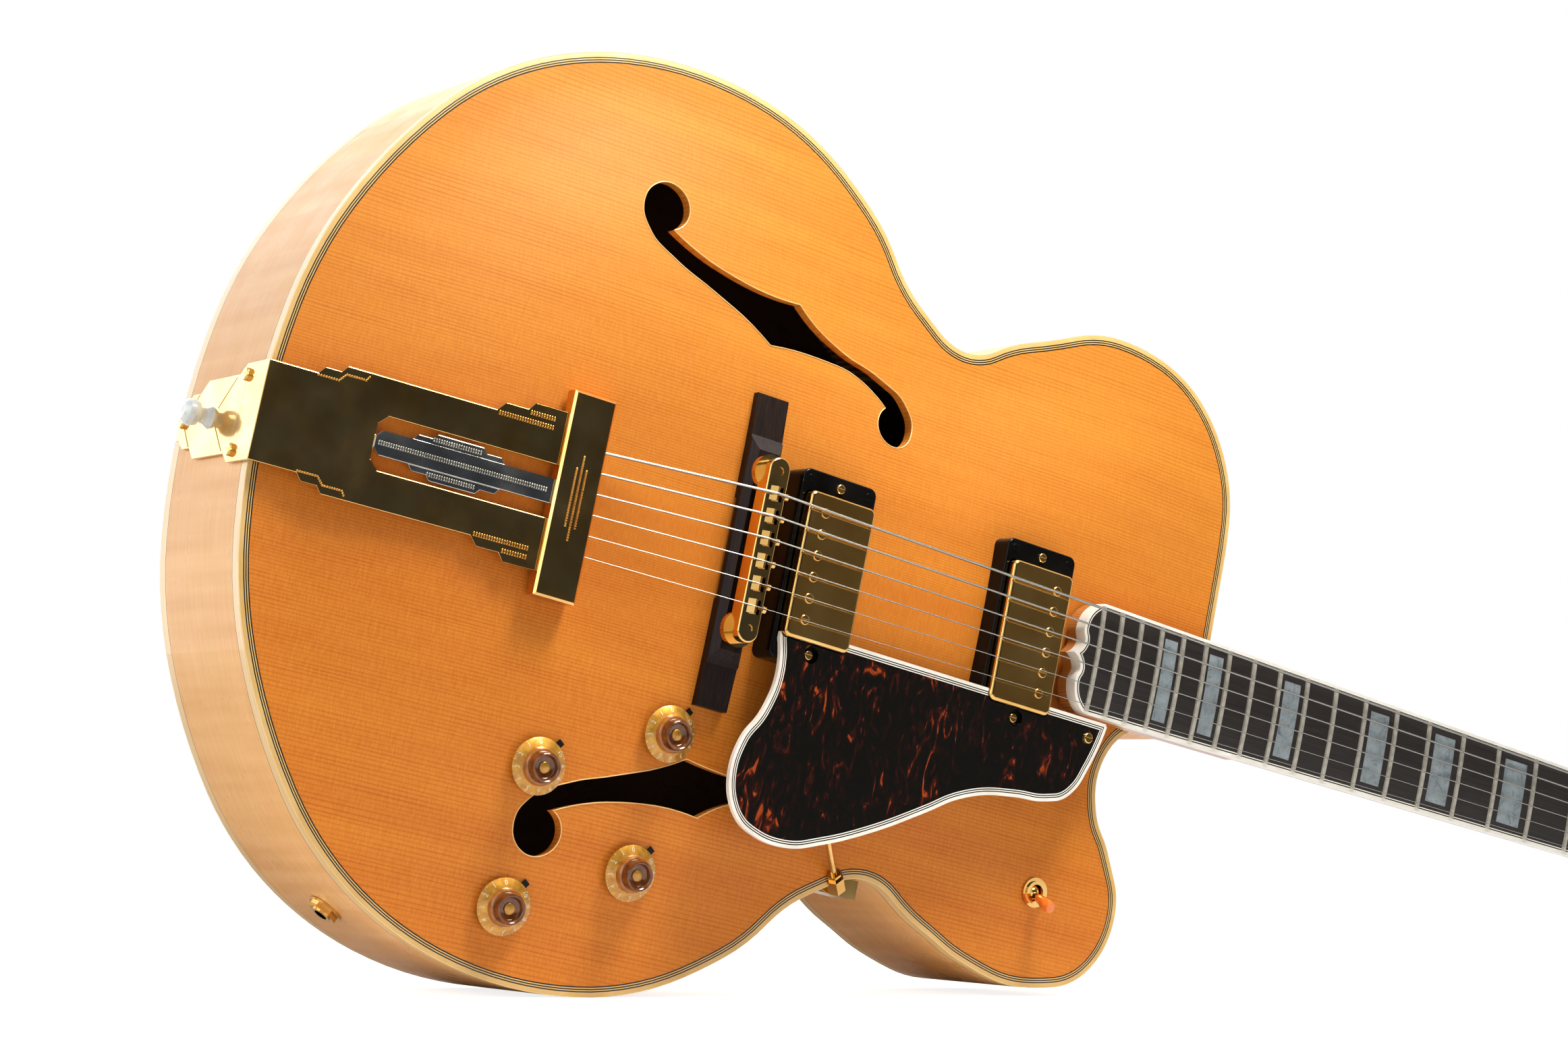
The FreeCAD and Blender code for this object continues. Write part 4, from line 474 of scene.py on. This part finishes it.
# %% Matched back
FLAME_SLANT = 0.3
FLAME_STRETCH = (0.11, 0.012, 0.0)
INSIDE_TILT = 0.3
matched = Finish("matched_back", 0.36, coat=0.1, specular=0.2)
plate = matched.parts(matched.place())
half = matched.maths("ABSOLUTE", plate["Y"])
slanted = matched.maths("MULTIPLY_ADD", half, FLAME_SLANT, plate["X"])
mirrored = matched.node("ShaderNodeCombineXYZ", {"X": slanted, "Y": half}).outputs[0]
flame = matched.noise(matched.vectors("MULTIPLY", mirrored, FLAME_STRETCH), 1.0, 3.0)
flame_tone = matched.ramp(flame, (0.32, "D9974F"), (0.68, "F6C080"))
lines_tone = matched.ramp(matched.grain()["Lines"], (0.55, "FFFFFF"), (0.95, "EEDCC4"))
normal = matched.node("ShaderNodeNewGeometry").outputs["Normal"]
# Painted shade: the face that looks into the body is coloured dark brown, as the shade inside it.
painted_shade_inside = matched.maths("GREATER_THAN", matched.vectors("DOT_PRODUCT", normal, out), INSIDE_TILT)
matched.colour(matched.mix(painted_shade_inside, matched.mix(0.8, flame_tone, lines_tone, "MULTIPLY"), "4A3020"))
matched.smear(0.26, 0.36)
dress(matched, "back_plate")
print("back nodes", len(matched.tree.nodes))

# %% [markdown]
# ## Inner woods, neck and dark woods
# Linings, blocks and bars inside are plain wood, and the neck is stained. The fingerboard and the bridge base are
# dark hardwoods with open pores. One long thin noise gives both their colour and their relief, because a pore is
# dark where it is deep.

# %% Other woods
plain_wood = Finish("inner_wood", 0.7)
plain_wood.colour(plain_wood.ramp(plain_wood.grain()["Lines"], (0.3, "9C7444"), (0.7, "C79E68")))
dress(plain_wood, "linings", "end_blocks", "tone_bars")

amber_wood = Finish("neck_wood", 0.3, coat=0.6)
wood = amber_wood.grain()
lines_tone = amber_wood.ramp(wood["Lines"], (0.3, "8A4A1C"), (0.7, "C07A36"))
bands_tone = amber_wood.ramp(wood["Bands"], (0.3, "9A5826"), (0.7, "CE8A44"))
amber_wood.colour(amber_wood.mix(0.4, lines_tone, bands_tone))
dress(amber_wood, "neck")

ebony = Finish("ebony", 0.38)
pores = ebony.noise(ebony.place(NECK, (0.04, 2.2, 2.2)), 1.0, 4.0)
ebony.colour(ebony.ramp(pores, (0.35, "0E0A09"), (0.7, "2A211D")))
ebony.bump(pores, 0.25)
dress(ebony, "fingerboard", "headstock_overlay")

rosewood = Finish("bridge_wood", 0.4, specular=0.15)
pores = rosewood.noise(rosewood.place(scale=(1.6, 0.05, 1.2)), 1.0, 4.0)
rosewood.colour(rosewood.ramp(pores, (0.35, "0E0706"), (0.7, "281712")))
rosewood.bump(pores, 0.2)
dress(rosewood, "bridge_base")
print("wooden nodes", sum(1 for node in nodes.values() if node.data.materials))

# %% [markdown]
# ## Plastics and cloth
# Bindings are aged cream plastic with faint streaks. Rings and plates are black and glossy, the layers of the
# fingerboard and the finger rest are white, the nut and the strap button have tones of their own, and the leads
# inside are covered with dark cloth. No plastic has quite one colour, so each wanders between two close tones.

# %% Plastics and cloth
cream = Finish("cream_binding", 0.35, coat=0.15)
cream.colour(cream.clouded("E2B877", "EDC88B", 1.0, 3.0, low=0.35, stretch=(0.02, 0.02, 0.7)))
dress(cream, "top_binding", "back_binding", "heel_cap")

black = Finish("black_plastic", 0.1, specular=0.12)
black.colour(black.clouded("070707", "141312", 0.05))
black.smear(0.06, 0.12)
dress(black, "top_purfling", "pickup_rings", "ring_screws", "truss_rod_cover", "potentiometers")

white = Finish("white_ply", 0.3, coat=0.4)
white.colour(white.clouded("E6DFCF", "F4F0E4", 0.08))
dress(white, "fingerboard_binding", "finger_rest_binding")

ivory = Finish("ivory_nut", 0.2, coat=0.6)
ivory.colour(ivory.clouded("C9C8BA", "E9E6D8", 0.12, 3.0))
dress(ivory, "nut")

china = Finish("white_button", 0.12, coat=0.5)
china.colour(china.clouded("CDD3D2", "E9EDEA", 0.2, 3.0))
dress(china, "strap_button")

amber = Finish("amber_knob", 0.16, metallic=0.35, coat=0.8)
amber.colour(amber.clouded("C88A2A", "E6B04C", 0.1))
dress(amber, *["control_knob_%d" % k for k in range(1, 5)])

lead = Finish("lead_cloth", 0.8)
lead.colour(lead.clouded("0B0B0B", "1E1E1E", 0.9))
dress(lead, "wiring")
print("finished nodes", sum(1 for node in nodes.values() if node.data.materials))

# %% [markdown]
# ## Pearl and tortoiseshell
# The pearl blocks have soft clouded cells, which a Voronoi texture gives. The finger rest is mottled: long flecks of
# a twisted noise glow red where the larger clouds are bright, and stay nearly black elsewhere.

# %% Pearl and tortoiseshell
CLOUD_SHARE = 0.5
pearl = Finish("pearl", 0.2, coat=0.6)
cells = pearl.node("ShaderNodeTexVoronoi", {"Vector": pearl.place(scale=(1.0, 1.6, 1.0)), "Scale": 0.09})
haze = pearl.noise(pearl.place(), 0.16, 4.0, 0.6, 1.2)
cells_tone = pearl.ramp(cells.outputs["Distance"], (0.1, "929CA0"), (0.8, "585F63"))
haze_tone = pearl.ramp(haze, (0.3, "5F686B"), (0.5, "98A2A4"), (0.7, "7D8386"))
pearl.colour(pearl.mix(0.55, cells_tone, haze_tone))
dress(pearl, "position_inlays")

shell = Finish("tortoiseshell", 0.18, coat=0.7)
flecks = shell.noise(shell.place(scale=(1.6, 0.6, 1.0)), 0.1, 4.0, 0.55, 2.0)
clouds = shell.noise(shell.place(), 0.024)
patches = shell.maths("MULTIPLY_ADD", clouds, CLOUD_SHARE, flecks)
shell.colour(shell.ramp(patches, (0.76, "030202"), (0.86, "160403"), (0.93, "461006"), (0.99, "A04214")))
shell.smear(0.04, 0.09)
dress(shell, "finger_rest")
print("finished nodes", sum(1 for node in nodes.values() if node.data.materials))

# %% [markdown]
# ## Metals
# The metal is gold plate, bright and slightly uneven, with a nickel insert in the tailpiece. Yellow paint would not
# do: the colour of a metal is the colour of its reflections, so Metallic is 1 and the base colour tints them. The
# frets are duller, since their round crowns are too small to show a clear mirror image.

# %% Metals
gold = Finish("gold_plate", 0.12, metallic=1.0)
gold.colour(gold.clouded("D6A65A", "EBC47E", 0.05, 3.0))
gold.smear(0.07, 0.16)
dress(gold, "tuner_cases", "tuner_bushes", "bridge_posts", "bass_thumbwheel", "treble_thumbwheel", "bridge_bar",
      "saddles", "tailpiece_frame", "tailpiece_crossbar", "bridge_pickup", "neck_pickup", "finger_rest_bracket",
      "selector_switch", "output_jack", "gold_screws")
dress(gold, *["tuner_%s_%d" % (kind, k) for kind in ("button", "post") for k in range(1, 7)])

nickel = Finish("nickel", 0.14, metallic=1.0)
nickel.colour(nickel.clouded("B9B7B0", "D6D4CC", 0.08, 3.0))
nickel.smear(0.08, 0.2)
dress(nickel, "tailpiece_insert", "strings")

fret_wire = Finish("fret_wire", 0.4, metallic=0.5)
fret_wire.colour(fret_wire.clouded("A8A294", "C8C2B4", 0.3))
dress(fret_wire, "frets")
print("finished nodes", sum(1 for node in nodes.values() if node.data.materials))

# %% [markdown]
# ## Piece tools
# The finer pieces are built with bmesh in millimetres, in a frame of their own, and placed by writing the scene's
# metres into their vertices. Each rides on the body that carries it. A curve with a round section, or a text, is
# made a mesh before it is placed.

# %% Piece tools
SHARP_ANGLE = math.radians(35)


def new_piece(name, bm, finish, matrix, body, smooth=True):
    """Ends a piece: places it, gives it its finish and lets it ride on a body, if it has one of its own."""
    bmesh.ops.transform(bm, matrix=matrix, verts=bm.verts)
    mesh = bpy.data.meshes.new(name)
    bm.to_mesh(mesh)
    bm.free()
    if smooth:
        mesh.shade_smooth()
        mesh.set_sharp_from_angle(angle=SHARP_ANGLE)
    mesh.materials.append(finish.material)
    piece = bpy.data.objects.new(name, mesh)
    scene.collection.objects.link(piece)
    if body:
        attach(piece, body)
    return piece


def spun(profile, steps=64):
    """A closed turned shape from (radius, height) points that start and end on the axis."""
    bm = bmesh.new()
    ring = [bm.verts.new((r, 0, z)) for r, z in profile]
    edges = [bm.edges.new(pair) for pair in zip(ring, ring[1:])]
    bmesh.ops.spin(bm, geom=ring + edges, cent=(0, 0, 0), axis=(0, 0, 1), angle=math.tau, steps=steps,
                   use_merge=True)
    bmesh.ops.remove_doubles(bm, verts=bm.verts, dist=1e-4)
    bmesh.ops.recalc_face_normals(bm, faces=bm.faces)
    return bm


def joined(target, source, matrix=None, keep=False):
    """Adds one bmesh to another, and frees it unless it is kept for more."""
    mesh = bpy.data.meshes.new("joint")
    source.to_mesh(mesh)
    if matrix is not None:
        mesh.transform(matrix)
    target.from_mesh(mesh)
    bpy.data.meshes.remove(mesh)
    if not keep:
        source.free()


def curve_mesh(curve):
    """A curve or a text as a bmesh. The curve itself is removed."""
    thing = bpy.data.objects.new(curve.name, curve)
    mesh = bpy.data.meshes.new_from_object(thing)
    bm = bmesh.new()
    bm.from_mesh(mesh)
    bpy.data.objects.remove(thing)
    bpy.data.curves.remove(curve)
    bpy.data.meshes.remove(mesh)
    return bm


def stand_on(place, axis):
    """A frame in millimetres on a point of the scene: Z along an axis, X towards the neck."""
    z = Vector(axis).normalized()
    x = (along - z * along.dot(z)).normalized()
    return Matrix.Translation(place) @ Matrix((x, z.cross(x), z)).transposed().to_4x4() @ MILLIMETRES


print("edges sharper than", round(math.degrees(SHARP_ANGLE)), "degrees stay sharp")

# %% [markdown]
# ## The outline of the top
# The edge lines have to follow the outline of the top. It could be drawn once more, but it would not quite fit the
# solid. So it is read off the solid binding, by walking from corner to corner round the rim of its upper face.

# %% Outline of the top
UPWARD = 0.9
LEVEL = 0.02


def walked(pairs):
    """Closed walks through pairs of neighbouring points."""
    neighbours = {}
    for a, b in pairs:
        neighbours.setdefault(a, set()).add(b)
        neighbours.setdefault(b, set()).add(a)
    walks = []
    while neighbours:
        walk = [min(neighbours)]
        while True:
            ahead = neighbours.pop(walk[-1], set()) - set(walk[-2:])
            ahead = sorted(p for p in ahead if p in neighbours)
            if not ahead:
                break
            walk.append(ahead[0])
        walks.append(walk)
    return walks


def area(loop):
    """The signed area inside a loop of points."""
    return sum(a[0] * b[1] - b[0] * a[1] for a, b in zip(loop, loop[1:] + loop[:1])) / 2


solid = bmesh.new()
solid.from_mesh(nodes["top_binding"].data)
face_rim = []
for edge in solid.edges:
    ends = [to_guitar @ vert.co for vert in edge.verts]
    upward = sum(1 for face in edge.link_faces if face.normal.dot(out) > UPWARD)
    if upward == 1 and all(abs(p.z) < LEVEL for p in ends):
        face_rim.append([(round(p.x, 2), round(p.y, 2)) for p in ends])
solid.free()
loops = walked(face_rim)
outline = max(loops, key=lambda loop: abs(area(loop)))
if area(outline) < 0:
    outline = outline[::-1]
outline = [Vector(p) for p in outline]
print("outline of", len(outline), "points, loops", len(loops))

# %% [markdown]
# ## Edge lines
# The edge of the top is layered: a cream binding with a rounded corner, then three black lines with two pale ones
# between them. Six thin solids could be laid side by side, but one strip is lighter and has no gaps. Its texture
# coordinate is the distance from the edge in millimetres, so that every line stays parallel to the outline.

# %% Edge lines
STRIP = [(0, -1.0), (0, -0.5), (0.08, -0.22), (0.25, -0.05), (0.5, 0.03), (5.0, 0.03)]
SHARPEST_MITRE = 0.5
DARK_LINES = (2.6, 3.65, 4.7)
DARK_LINE_HALF = 0.29
strip = bmesh.new()
measure = strip.loops.layers.uv.new("measure")
rows = []
for before, here, after in zip(outline[-1:] + outline, outline, outline[1:] + outline[:1]):
    normals = [Vector((-d.y, d.x)).normalized() for d in (here - before, after - here)]
    middle = (normals[0] + normals[1]).normalized()
    middle /= max(SHARPEST_MITRE, middle.dot(normals[0]))
    rows.append([strip.verts.new((here.x + middle.x * w, here.y + middle.y * w, z)) for w, z in STRIP])
for a, b in zip(rows, rows[1:] + rows[:1]):
    for n in range(len(STRIP) - 1):
        face = strip.faces.new((a[n], b[n], b[n + 1], a[n + 1]))
        for loop, w in zip(face.loops, (n, n, n + 1, n + 1)):
            loop[measure].uv = (STRIP[w][0], 0)
bmesh.ops.recalc_face_normals(strip, faces=strip.faces)
if sum(face.normal.z for face in strip.faces) < 0:
    bmesh.ops.reverse_faces(strip, faces=strip.faces)
layers = Finish("edge_layers", 0.35, coat=0.1)
distance = layers.parts(layers.node("ShaderNodeUVMap", uv_map="measure").outputs[0])["X"]
pale_tone = layers.clouded("D3A75E", "E0B972", 0.05, 3.0, low=0.35)
layers.colour(layers.mix(layers.band(distance, DARK_LINES, DARK_LINE_HALF), pale_tone, "0A0705"))
new_piece("edge_strip", strip, layers, GUITAR, "guitar")
print("edge strip", STRIP[-1][0], "mm wide with dark lines at", DARK_LINES)

# %% [markdown]
# ## Sound hole edges
# The edges of the sound holes are rounded off and catch the light as a thin pale line. A bevel would round them too,
# but it would run along all other edges of the top as well. So the edges between the top's face and the walls of the
# holes are read off the solid, walked round, and each gets a fine round bead. The bead is also coloured paler than
# the
# top: a painted highlight on top of the light that its rounding catches. A curve with a round section makes such a
# bead, and the same tool makes the strings later.

# %% Sound hole edges
HOLE_BEAD = 0.28
FACE_TILT = 0.8
WALL_TILT = 0.35
HOLE_POINTS = 100
HOLE_LOWEST = 1.0


def tube(points, radius, closed=False):
    """A round bead along a polyline."""
    curve = bpy.data.curves.new("tube", "CURVE")
    curve.dimensions = "3D"
    curve.bevel_depth = radius
    curve.bevel_resolution = 2
    curve.use_fill_caps = not closed
    line = curve.splines.new("POLY")
    line.points.add(len(points) - 1)
    for place, point in zip(points, line.points):
        point.co = (*place, 1)
    line.use_cyclic_u = closed
    bm = curve_mesh(curve)
    bmesh.ops.remove_doubles(bm, verts=bm.verts, dist=radius / 50)
    bmesh.ops.recalc_face_normals(bm, faces=bm.faces)
    return bm


solid = bmesh.new()
solid.from_mesh(nodes["top_plate"].data)
bmesh.ops.remove_doubles(solid, verts=solid.verts, dist=1e-6)
hole_edges = []
for edge in solid.edges:
    tilts = sorted(face.normal.dot(out) for face in edge.link_faces)
    if len(tilts) == 2 and tilts[1] > FACE_TILT and abs(tilts[0]) < WALL_TILT:
        hole_edges.append([tuple(round(c, 3) for c in to_guitar @ vert.co) for vert in edge.verts])
solid.free()
hole_loops = [loop for loop in walked(hole_edges)
              if len(loop) > HOLE_POINTS and min(p[2] for p in loop) > HOLE_LOWEST]
beads = bmesh.new()
for loop in hole_loops:
    joined(beads, tube(loop, HOLE_BEAD, closed=True))
# Painted highlight: the bead is paler than the top's wood, besides the light that its rounding catches.
hole_edge_highlight = Finish("hole_edge", 0.35, coat=0.2)
hole_edge_highlight.colour(hole_edge_highlight.clouded("E2AC5C", "EFC27A", 0.1))
new_piece("sound_hole_edges", beads, hole_edge_highlight, GUITAR, "guitar")
print("hole edges", [len(loop) for loop in hole_loops])

# %% [markdown]
# ## Softened edges
# Plated parts have slightly rounded edges that catch the light as bright lines, so the solids of the flat metal and
# of the bridge base get a narrow bevel. Their triangles are loose, so a Weld modifier joins them first.

# %% Soft edges
EDGE_ROUND = 0.3
for name in ("tailpiece_frame", "tailpiece_insert", "tailpiece_crossbar", "bridge_base"):
    weld = nodes[name].modifiers.new("weld", "WELD")
    weld.merge_threshold = 0.00001
    edge_round = nodes[name].modifiers.new("soft_edge", "BEVEL")
    edge_round.width = EDGE_ROUND / 1000
    edge_round.segments = 2
    edge_round.limit_method = "ANGLE"
    edge_round.angle_limit = math.radians(40)
print("softened nodes", sum(1 for node in nodes.values() if node.modifiers))

# %% [markdown]
# ## Numbered knobs
# Each control has a low bell knob of amber plastic over gold paint: a painted skirt, a brown collar, and a dark
# glassy post with a dished end, in which the gold of the shaft shows. The profiles are spun round the shaft. The
# figures could be an image, but text turned into a mesh stays sharp. They lie on the slope of the skirt, 30 degrees
# apart, with a line at every 15.

# %% Knob finishes
paint = Finish("gold_paint", 0.4, metallic=0.6, coat=0.8)
paint.colour(paint.clouded("A26C16", "CE9632", 0.35, 4.0))
paint.smear(0.34, 0.48)

collar = Finish("amber_collar", 0.25, coat=0.6)
collar.colour(collar.clouded("8A4C12", "B06C20", 0.3))

smoke = Finish("smoked_amber", 0.12, coat=0.4)
smoke.colour(smoke.clouded("4A2008", "7E4414", 0.25, 3.0))

mark = Finish("pale_mark", 0.4, metallic=0.2)
mark.colour(mark.clouded("C2B48C", "E6DCBC", 0.6))
print("knob finishes", [finish.material.name for finish in (paint, collar, smoke, mark)])

# %% Knobs
KNOB_GAP = 2.2
SKIRT_RADIUS, SKIRT_EDGE = 13.0, 1.2
SKIRT_TILT = math.atan2(2.0, 4.1)
KNOB_LAYERS = {
    "skirt": (paint, [(0, 0), (12.5, 0), (SKIRT_RADIUS, 0.4), (SKIRT_RADIUS, SKIRT_EDGE), (8.9, 3.2), (8.4, 3.3),
                      (0, 3.3)]),
    "collar": (collar, [(0, 3.2), (8.85, 3.2), (8.5, 4.6), (8.35, 5.3), (8.0, 5.75), (7.5, 5.9), (0, 5.9)]),
    "post": (smoke, [(0, 5.8), (7.4, 5.8), (6.95, 9.3), (6.7, 9.8), (6.3, 10.0), (5.8, 9.8), (5.4, 9.2), (4.9, 7.6),
                     (4.3, 7.2), (0, 7.1)]),
    "shaft": (paint, [(0, 7.0), (2.7, 7.0), (2.6, 7.6), (2.2, 7.85), (0, 7.9)]),
}
ZERO_AT = 103.0
MARK_THICK = 0.1
FIGURES, FIGURE_STEP, FIGURE_SIZE, FIGURE_RADIUS = 11, 30, 3.1, 10.9
TICKS, TICK_STEP, TICK_SIZE, TICK_RADIUS = 21, 15, (0.22, 0.9, MARK_THICK, 1), 12.6


def figure(text):
    """Text as a thin mesh, centred on the origin."""
    curve = bpy.data.curves.new("figure", "FONT")
    curve.body = text
    curve.size = FIGURE_SIZE
    curve.extrude = MARK_THICK / 2
    curve.align_x = "CENTER"
    curve.align_y = "CENTER"
    curve.resolution_u = 3
    return curve_mesh(curve)


def on_skirt(angle, radius):
    """A place on the skirt's slope, upright towards the post."""
    height = SKIRT_EDGE + (SKIRT_RADIUS - radius) * math.tan(SKIRT_TILT) + MARK_THICK / 2
    return (Matrix.Rotation(math.radians(angle) - math.pi / 2, 4, "Z")
            @ Matrix.Translation((0, radius, height)) @ Matrix.Rotation(-SKIRT_TILT, 4, "X"))


for k in range(1, 5):
    name = "control_knob_%d" % k
    joint = joints[name + "_turn"]
    seat = stand_on(joint["pos_m"], joint["axis"]) @ Matrix.Translation((0, 0, KNOB_GAP))
    for layer, (finish, profile) in KNOB_LAYERS.items():
        piece = new_piece("%s_%s" % (name, layer), spun(profile), finish, seat, name)
        if layer == "skirt":
            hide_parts(name)
    marks = bmesh.new()
    for n in range(FIGURES):
        joined(marks, figure(str(n)), on_skirt(ZERO_AT + FIGURE_STEP * n, FIGURE_RADIUS))
    for n in range(TICKS):
        tick = bmesh.new()
        bmesh.ops.create_cube(tick, size=1.0, matrix=Matrix.Diagonal(TICK_SIZE))
        joined(marks, tick, on_skirt(ZERO_AT + TICK_STEP * n, TICK_RADIUS))
    new_piece(name + "_figures", marks, mark, seat, name, smooth=False)

# %% [markdown]
# ## Switch lever
# The lever is one solid in the frame: a plated stem with a moulded tip. It needn't be cut in two. Its finish changes
# from gold to orange plastic at the tip's foot, by the distance from the pivot.

# %% Switch lever
TIP_STARTS = 7.0
FAR_SHARE = 0.8
pivot = Vector(joints["selector_throw"]["pos_m"])
corners = [vert.co for vert in nodes["selector_lever"].data.vertices]
reach = max((c - pivot).length for c in corners)
far = [c for c in corners if (c - pivot).length > FAR_SHARE * reach]
lever_axis = (sum(far, Vector()) / len(far) - pivot).normalized()
lever = Finish("lever", 0.2, coat=0.4)
from_pivot = lever.vectors("SUBTRACT", lever.node("ShaderNodeTexCoord").outputs["Object"], pivot)
is_tip = lever.maths("GREATER_THAN", lever.vectors("DOT_PRODUCT", from_pivot, lever_axis), TIP_STARTS / 1000)
lever.colour(lever.mix(is_tip, "E0B468", lever.clouded("D95F14", "EE7F2A", 0.3, 3.0)))
lever.surface({"Metallic": lever.maths("SUBTRACT", 1.0, is_tip)})
dress(lever, "selector_lever")
print("lever", round(reach * 1000, 1), "mm from its pivot")

# %% [markdown]
# ## Rope lines
# The tailpiece carries rows of small beads: they carry on the line of each narrower step into the wider one, run
# double beside the crossbar and on the nickel insert, in three lines on the crossbar and in two V shapes on the
# end plate. A bump pattern could hint at them, but real beads also show from the side. A bead has few faces, since
# there are hundreds of them.

# %% Rope layout
TAIL_END, TAIL_RUN, TAIL_RISE, TAIL_BEND_Z = -240.2, 136.2, 16.0, 5.0
END_PLATE_THICK = 1.6
PLATE_LONG = math.hypot(TAIL_RUN, TAIL_RISE)
SLOT_START = 0.379 * PLATE_LONG
TAIL = (GUITAR @ Matrix.Translation((TAIL_END, 0, TAIL_BEND_Z))
        @ Matrix.Rotation(-math.atan2(TAIL_RISE, TAIL_RUN), 4, "Y"))
END_FACE = GUITAR @ Matrix.Translation((TAIL_END - END_PLATE_THICK, 0, 0))
CROSSBAR = GUITAR @ Matrix.Translation((-93.25, 0, 24.1))
# Points on the plate are (along, across), those on the end plate (across, up), and the bar's lines (along, reach).
STEP_LINE = ((21, 21.6), (30.5, 21.6), (33.4, 24.9), (42.5, 24.9), (44.2, 27.6))
BESIDE_BAR = [((start, y), (132.5, y)) for start, y in ((105.5, 28.3), (105.5, 27.2), (120, 32.3), (120, 31.2))]
INSERT_MIDDLE = ((SLOT_START + 2, 0.6), (PLATE_LONG - 2, 0.6))
INSERT_SIDES = [((SLOT_START + 26.5, y), (SLOT_START + 50, y)) for y in (8.4, 7.3)]
END_LINES = (((16.5, -26.5), (3.5, -40.5)), ((12, -65), (2.5, -74.5)))
BAR_LINES = ((0, 19.6), (-2.5, 13.6), (2.5, 13.6))
print("tailpiece plate", round(PLATE_LONG, 1), "mm long, its slot starts at", round(SLOT_START, 1))

# %% Rope lines
bead = bmesh.new()
bmesh.ops.create_uvsphere(bead, u_segments=8, v_segments=5, radius=1.0)


def rope(target, points, radius, pitch=1.2):
    """Beads along a polyline."""
    for a, b in zip(points, points[1:]):
        a, b = Vector(a), Vector(b)
        count = max(1, round((b - a).length / pitch))
        for n in range(count):
            joined(target, bead, Matrix.Translation(a.lerp(b, n / count)) @ Matrix.Scale(radius, 4), keep=True)


frame_beads, insert_beads, bar_beads, end_beads = (bmesh.new() for _ in range(4))
for s in (1, -1):
    rope(frame_beads, [(x, s * y, 0.1) for x, y in STEP_LINE], 0.55)
    for line in BESIDE_BAR:
        rope(frame_beads, [(x, s * y, 0.1) for x, y in line], 0.52)
    rope(insert_beads, [(x, s * y, 0.5) for x, y in INSERT_MIDDLE], 0.46, 1.15)
    for line in INSERT_SIDES:
        rope(insert_beads, [(x, s * y, 0.1) for x, y in line], 0.46, 1.15)
    for line in END_LINES:
        rope(end_beads, [(0, s * y, z) for y, z in line], 0.35, 0.8)
for x, y in BAR_LINES:
    rope(bar_beads, [(x, -y, 0), (x, y, 0)], 0.62)
new_piece("tailpiece_ropes", frame_beads, gold, TAIL, "guitar")
new_piece("crossbar_ropes", bar_beads, gold, CROSSBAR, "guitar")
new_piece("end_plate_ropes", end_beads, gold, END_FACE, "guitar")
new_piece("insert_ropes", insert_beads, nickel, TAIL, "guitar")
bead.free()

# %% [markdown]
# ## Strings
# A string is a thin tube from the crossbar over its saddle to the nut and its post, with three turns round the post.
# As one rigid piece it would be left behind when the bridge is raised. It is made in two pieces that meet at the
# saddle, but neither piece rides on a body.

# %% String finish
wire = Finish("string_wire", 0.22, metallic=1.0)
winding = wire.node("ShaderNodeTexWave", {"Vector": wire.place(NECK), "Scale": 0.7}, bands_direction="X")
wound = winding.outputs["Fac"]
wire.colour(wire.ramp(wound, (0.2, "7E7B76"), (0.8, "B4B1AA")))
wire.bump(wound, 0.3)
print("string finish", wire.material.name)

# %% Strings
SCALE = 647.7
STRING_RADII = (0.66, 0.53, 0.41, 0.31, 0.21, 0.16)
STRING_Z = FRET_HEIGHT + 3.6
SPREADS = {"tail": 48.0, "bridge": 53.0, "nut": 36.0}
ANCHOR_X, ANCHOR_Z, ANCHOR_DEPTH = -82.5, 19.5, 8
NUT_MIDDLE, NUT_SLOT = 2.5, 0.9
POST_RADIUS, POST_GAP = 3.0, 0.08
WRAP_HEIGHT, WRAP_PITCH, WRAP_TURNS, WRAP_STEPS = 9.0, 2.1, 3, 20


def string_y(i, at):
    """How far a string lies from the middle, to the bass side."""
    return SPREADS[at] * (0.5 - i / 5)


def between(a, b, count):
    """Even steps from one point to another."""
    return [a.lerp(b, n / count) for n in range(count + 1)]


rear, front = bmesh.new(), bmesh.new()
for i, radius in enumerate(STRING_RADII):
    is_bass = i < 3
    tail = Vector((ANCHOR_X, string_y(i, "tail"), ANCHOR_Z))
    saddle = Vector((0, string_y(i, "bridge"), STRING_Z))
    nut = to_guitar @ NECK @ Vector((SCALE + NUT_MIDDLE, string_y(i, "nut"), NUT_SLOT))
    inside = tail - (saddle - tail).normalized() * ANCHOR_DEPTH
    post = joints["tuner_post_%d_turn" % (i + 1 if is_bass else 9 - i)]
    axis = turn.inverted() @ Vector(post["axis"]).normalized()
    middle = to_guitar @ Vector(post["pos_m"])
    inward = Vector((0, -1 if is_bass else 1, 0))
    away = axis.cross(inward) * (1 if is_bass else -1)
    wrap = []
    for n in range(WRAP_TURNS * WRAP_STEPS + 1):
        angle = math.tau * n / WRAP_STEPS
        side = inward * math.cos(angle) + away * math.sin(angle)
        height = WRAP_HEIGHT - WRAP_PITCH * radius * n / WRAP_STEPS
        wrap.append(middle + axis * height + side * (POST_RADIUS + radius + POST_GAP))
    joined(rear, tube([inside] + between(tail, saddle, 10), radius))
    joined(front, tube(between(saddle, nut, 24) + wrap, radius))
strings_rear = new_piece("strings_rear", rear, wire, GUITAR, None)
strings_front = new_piece("strings_front", front, wire, GUITAR, None)
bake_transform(strings_rear)
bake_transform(strings_front)
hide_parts("strings")
print("strings", len(STRING_RADII))

# %% [markdown]
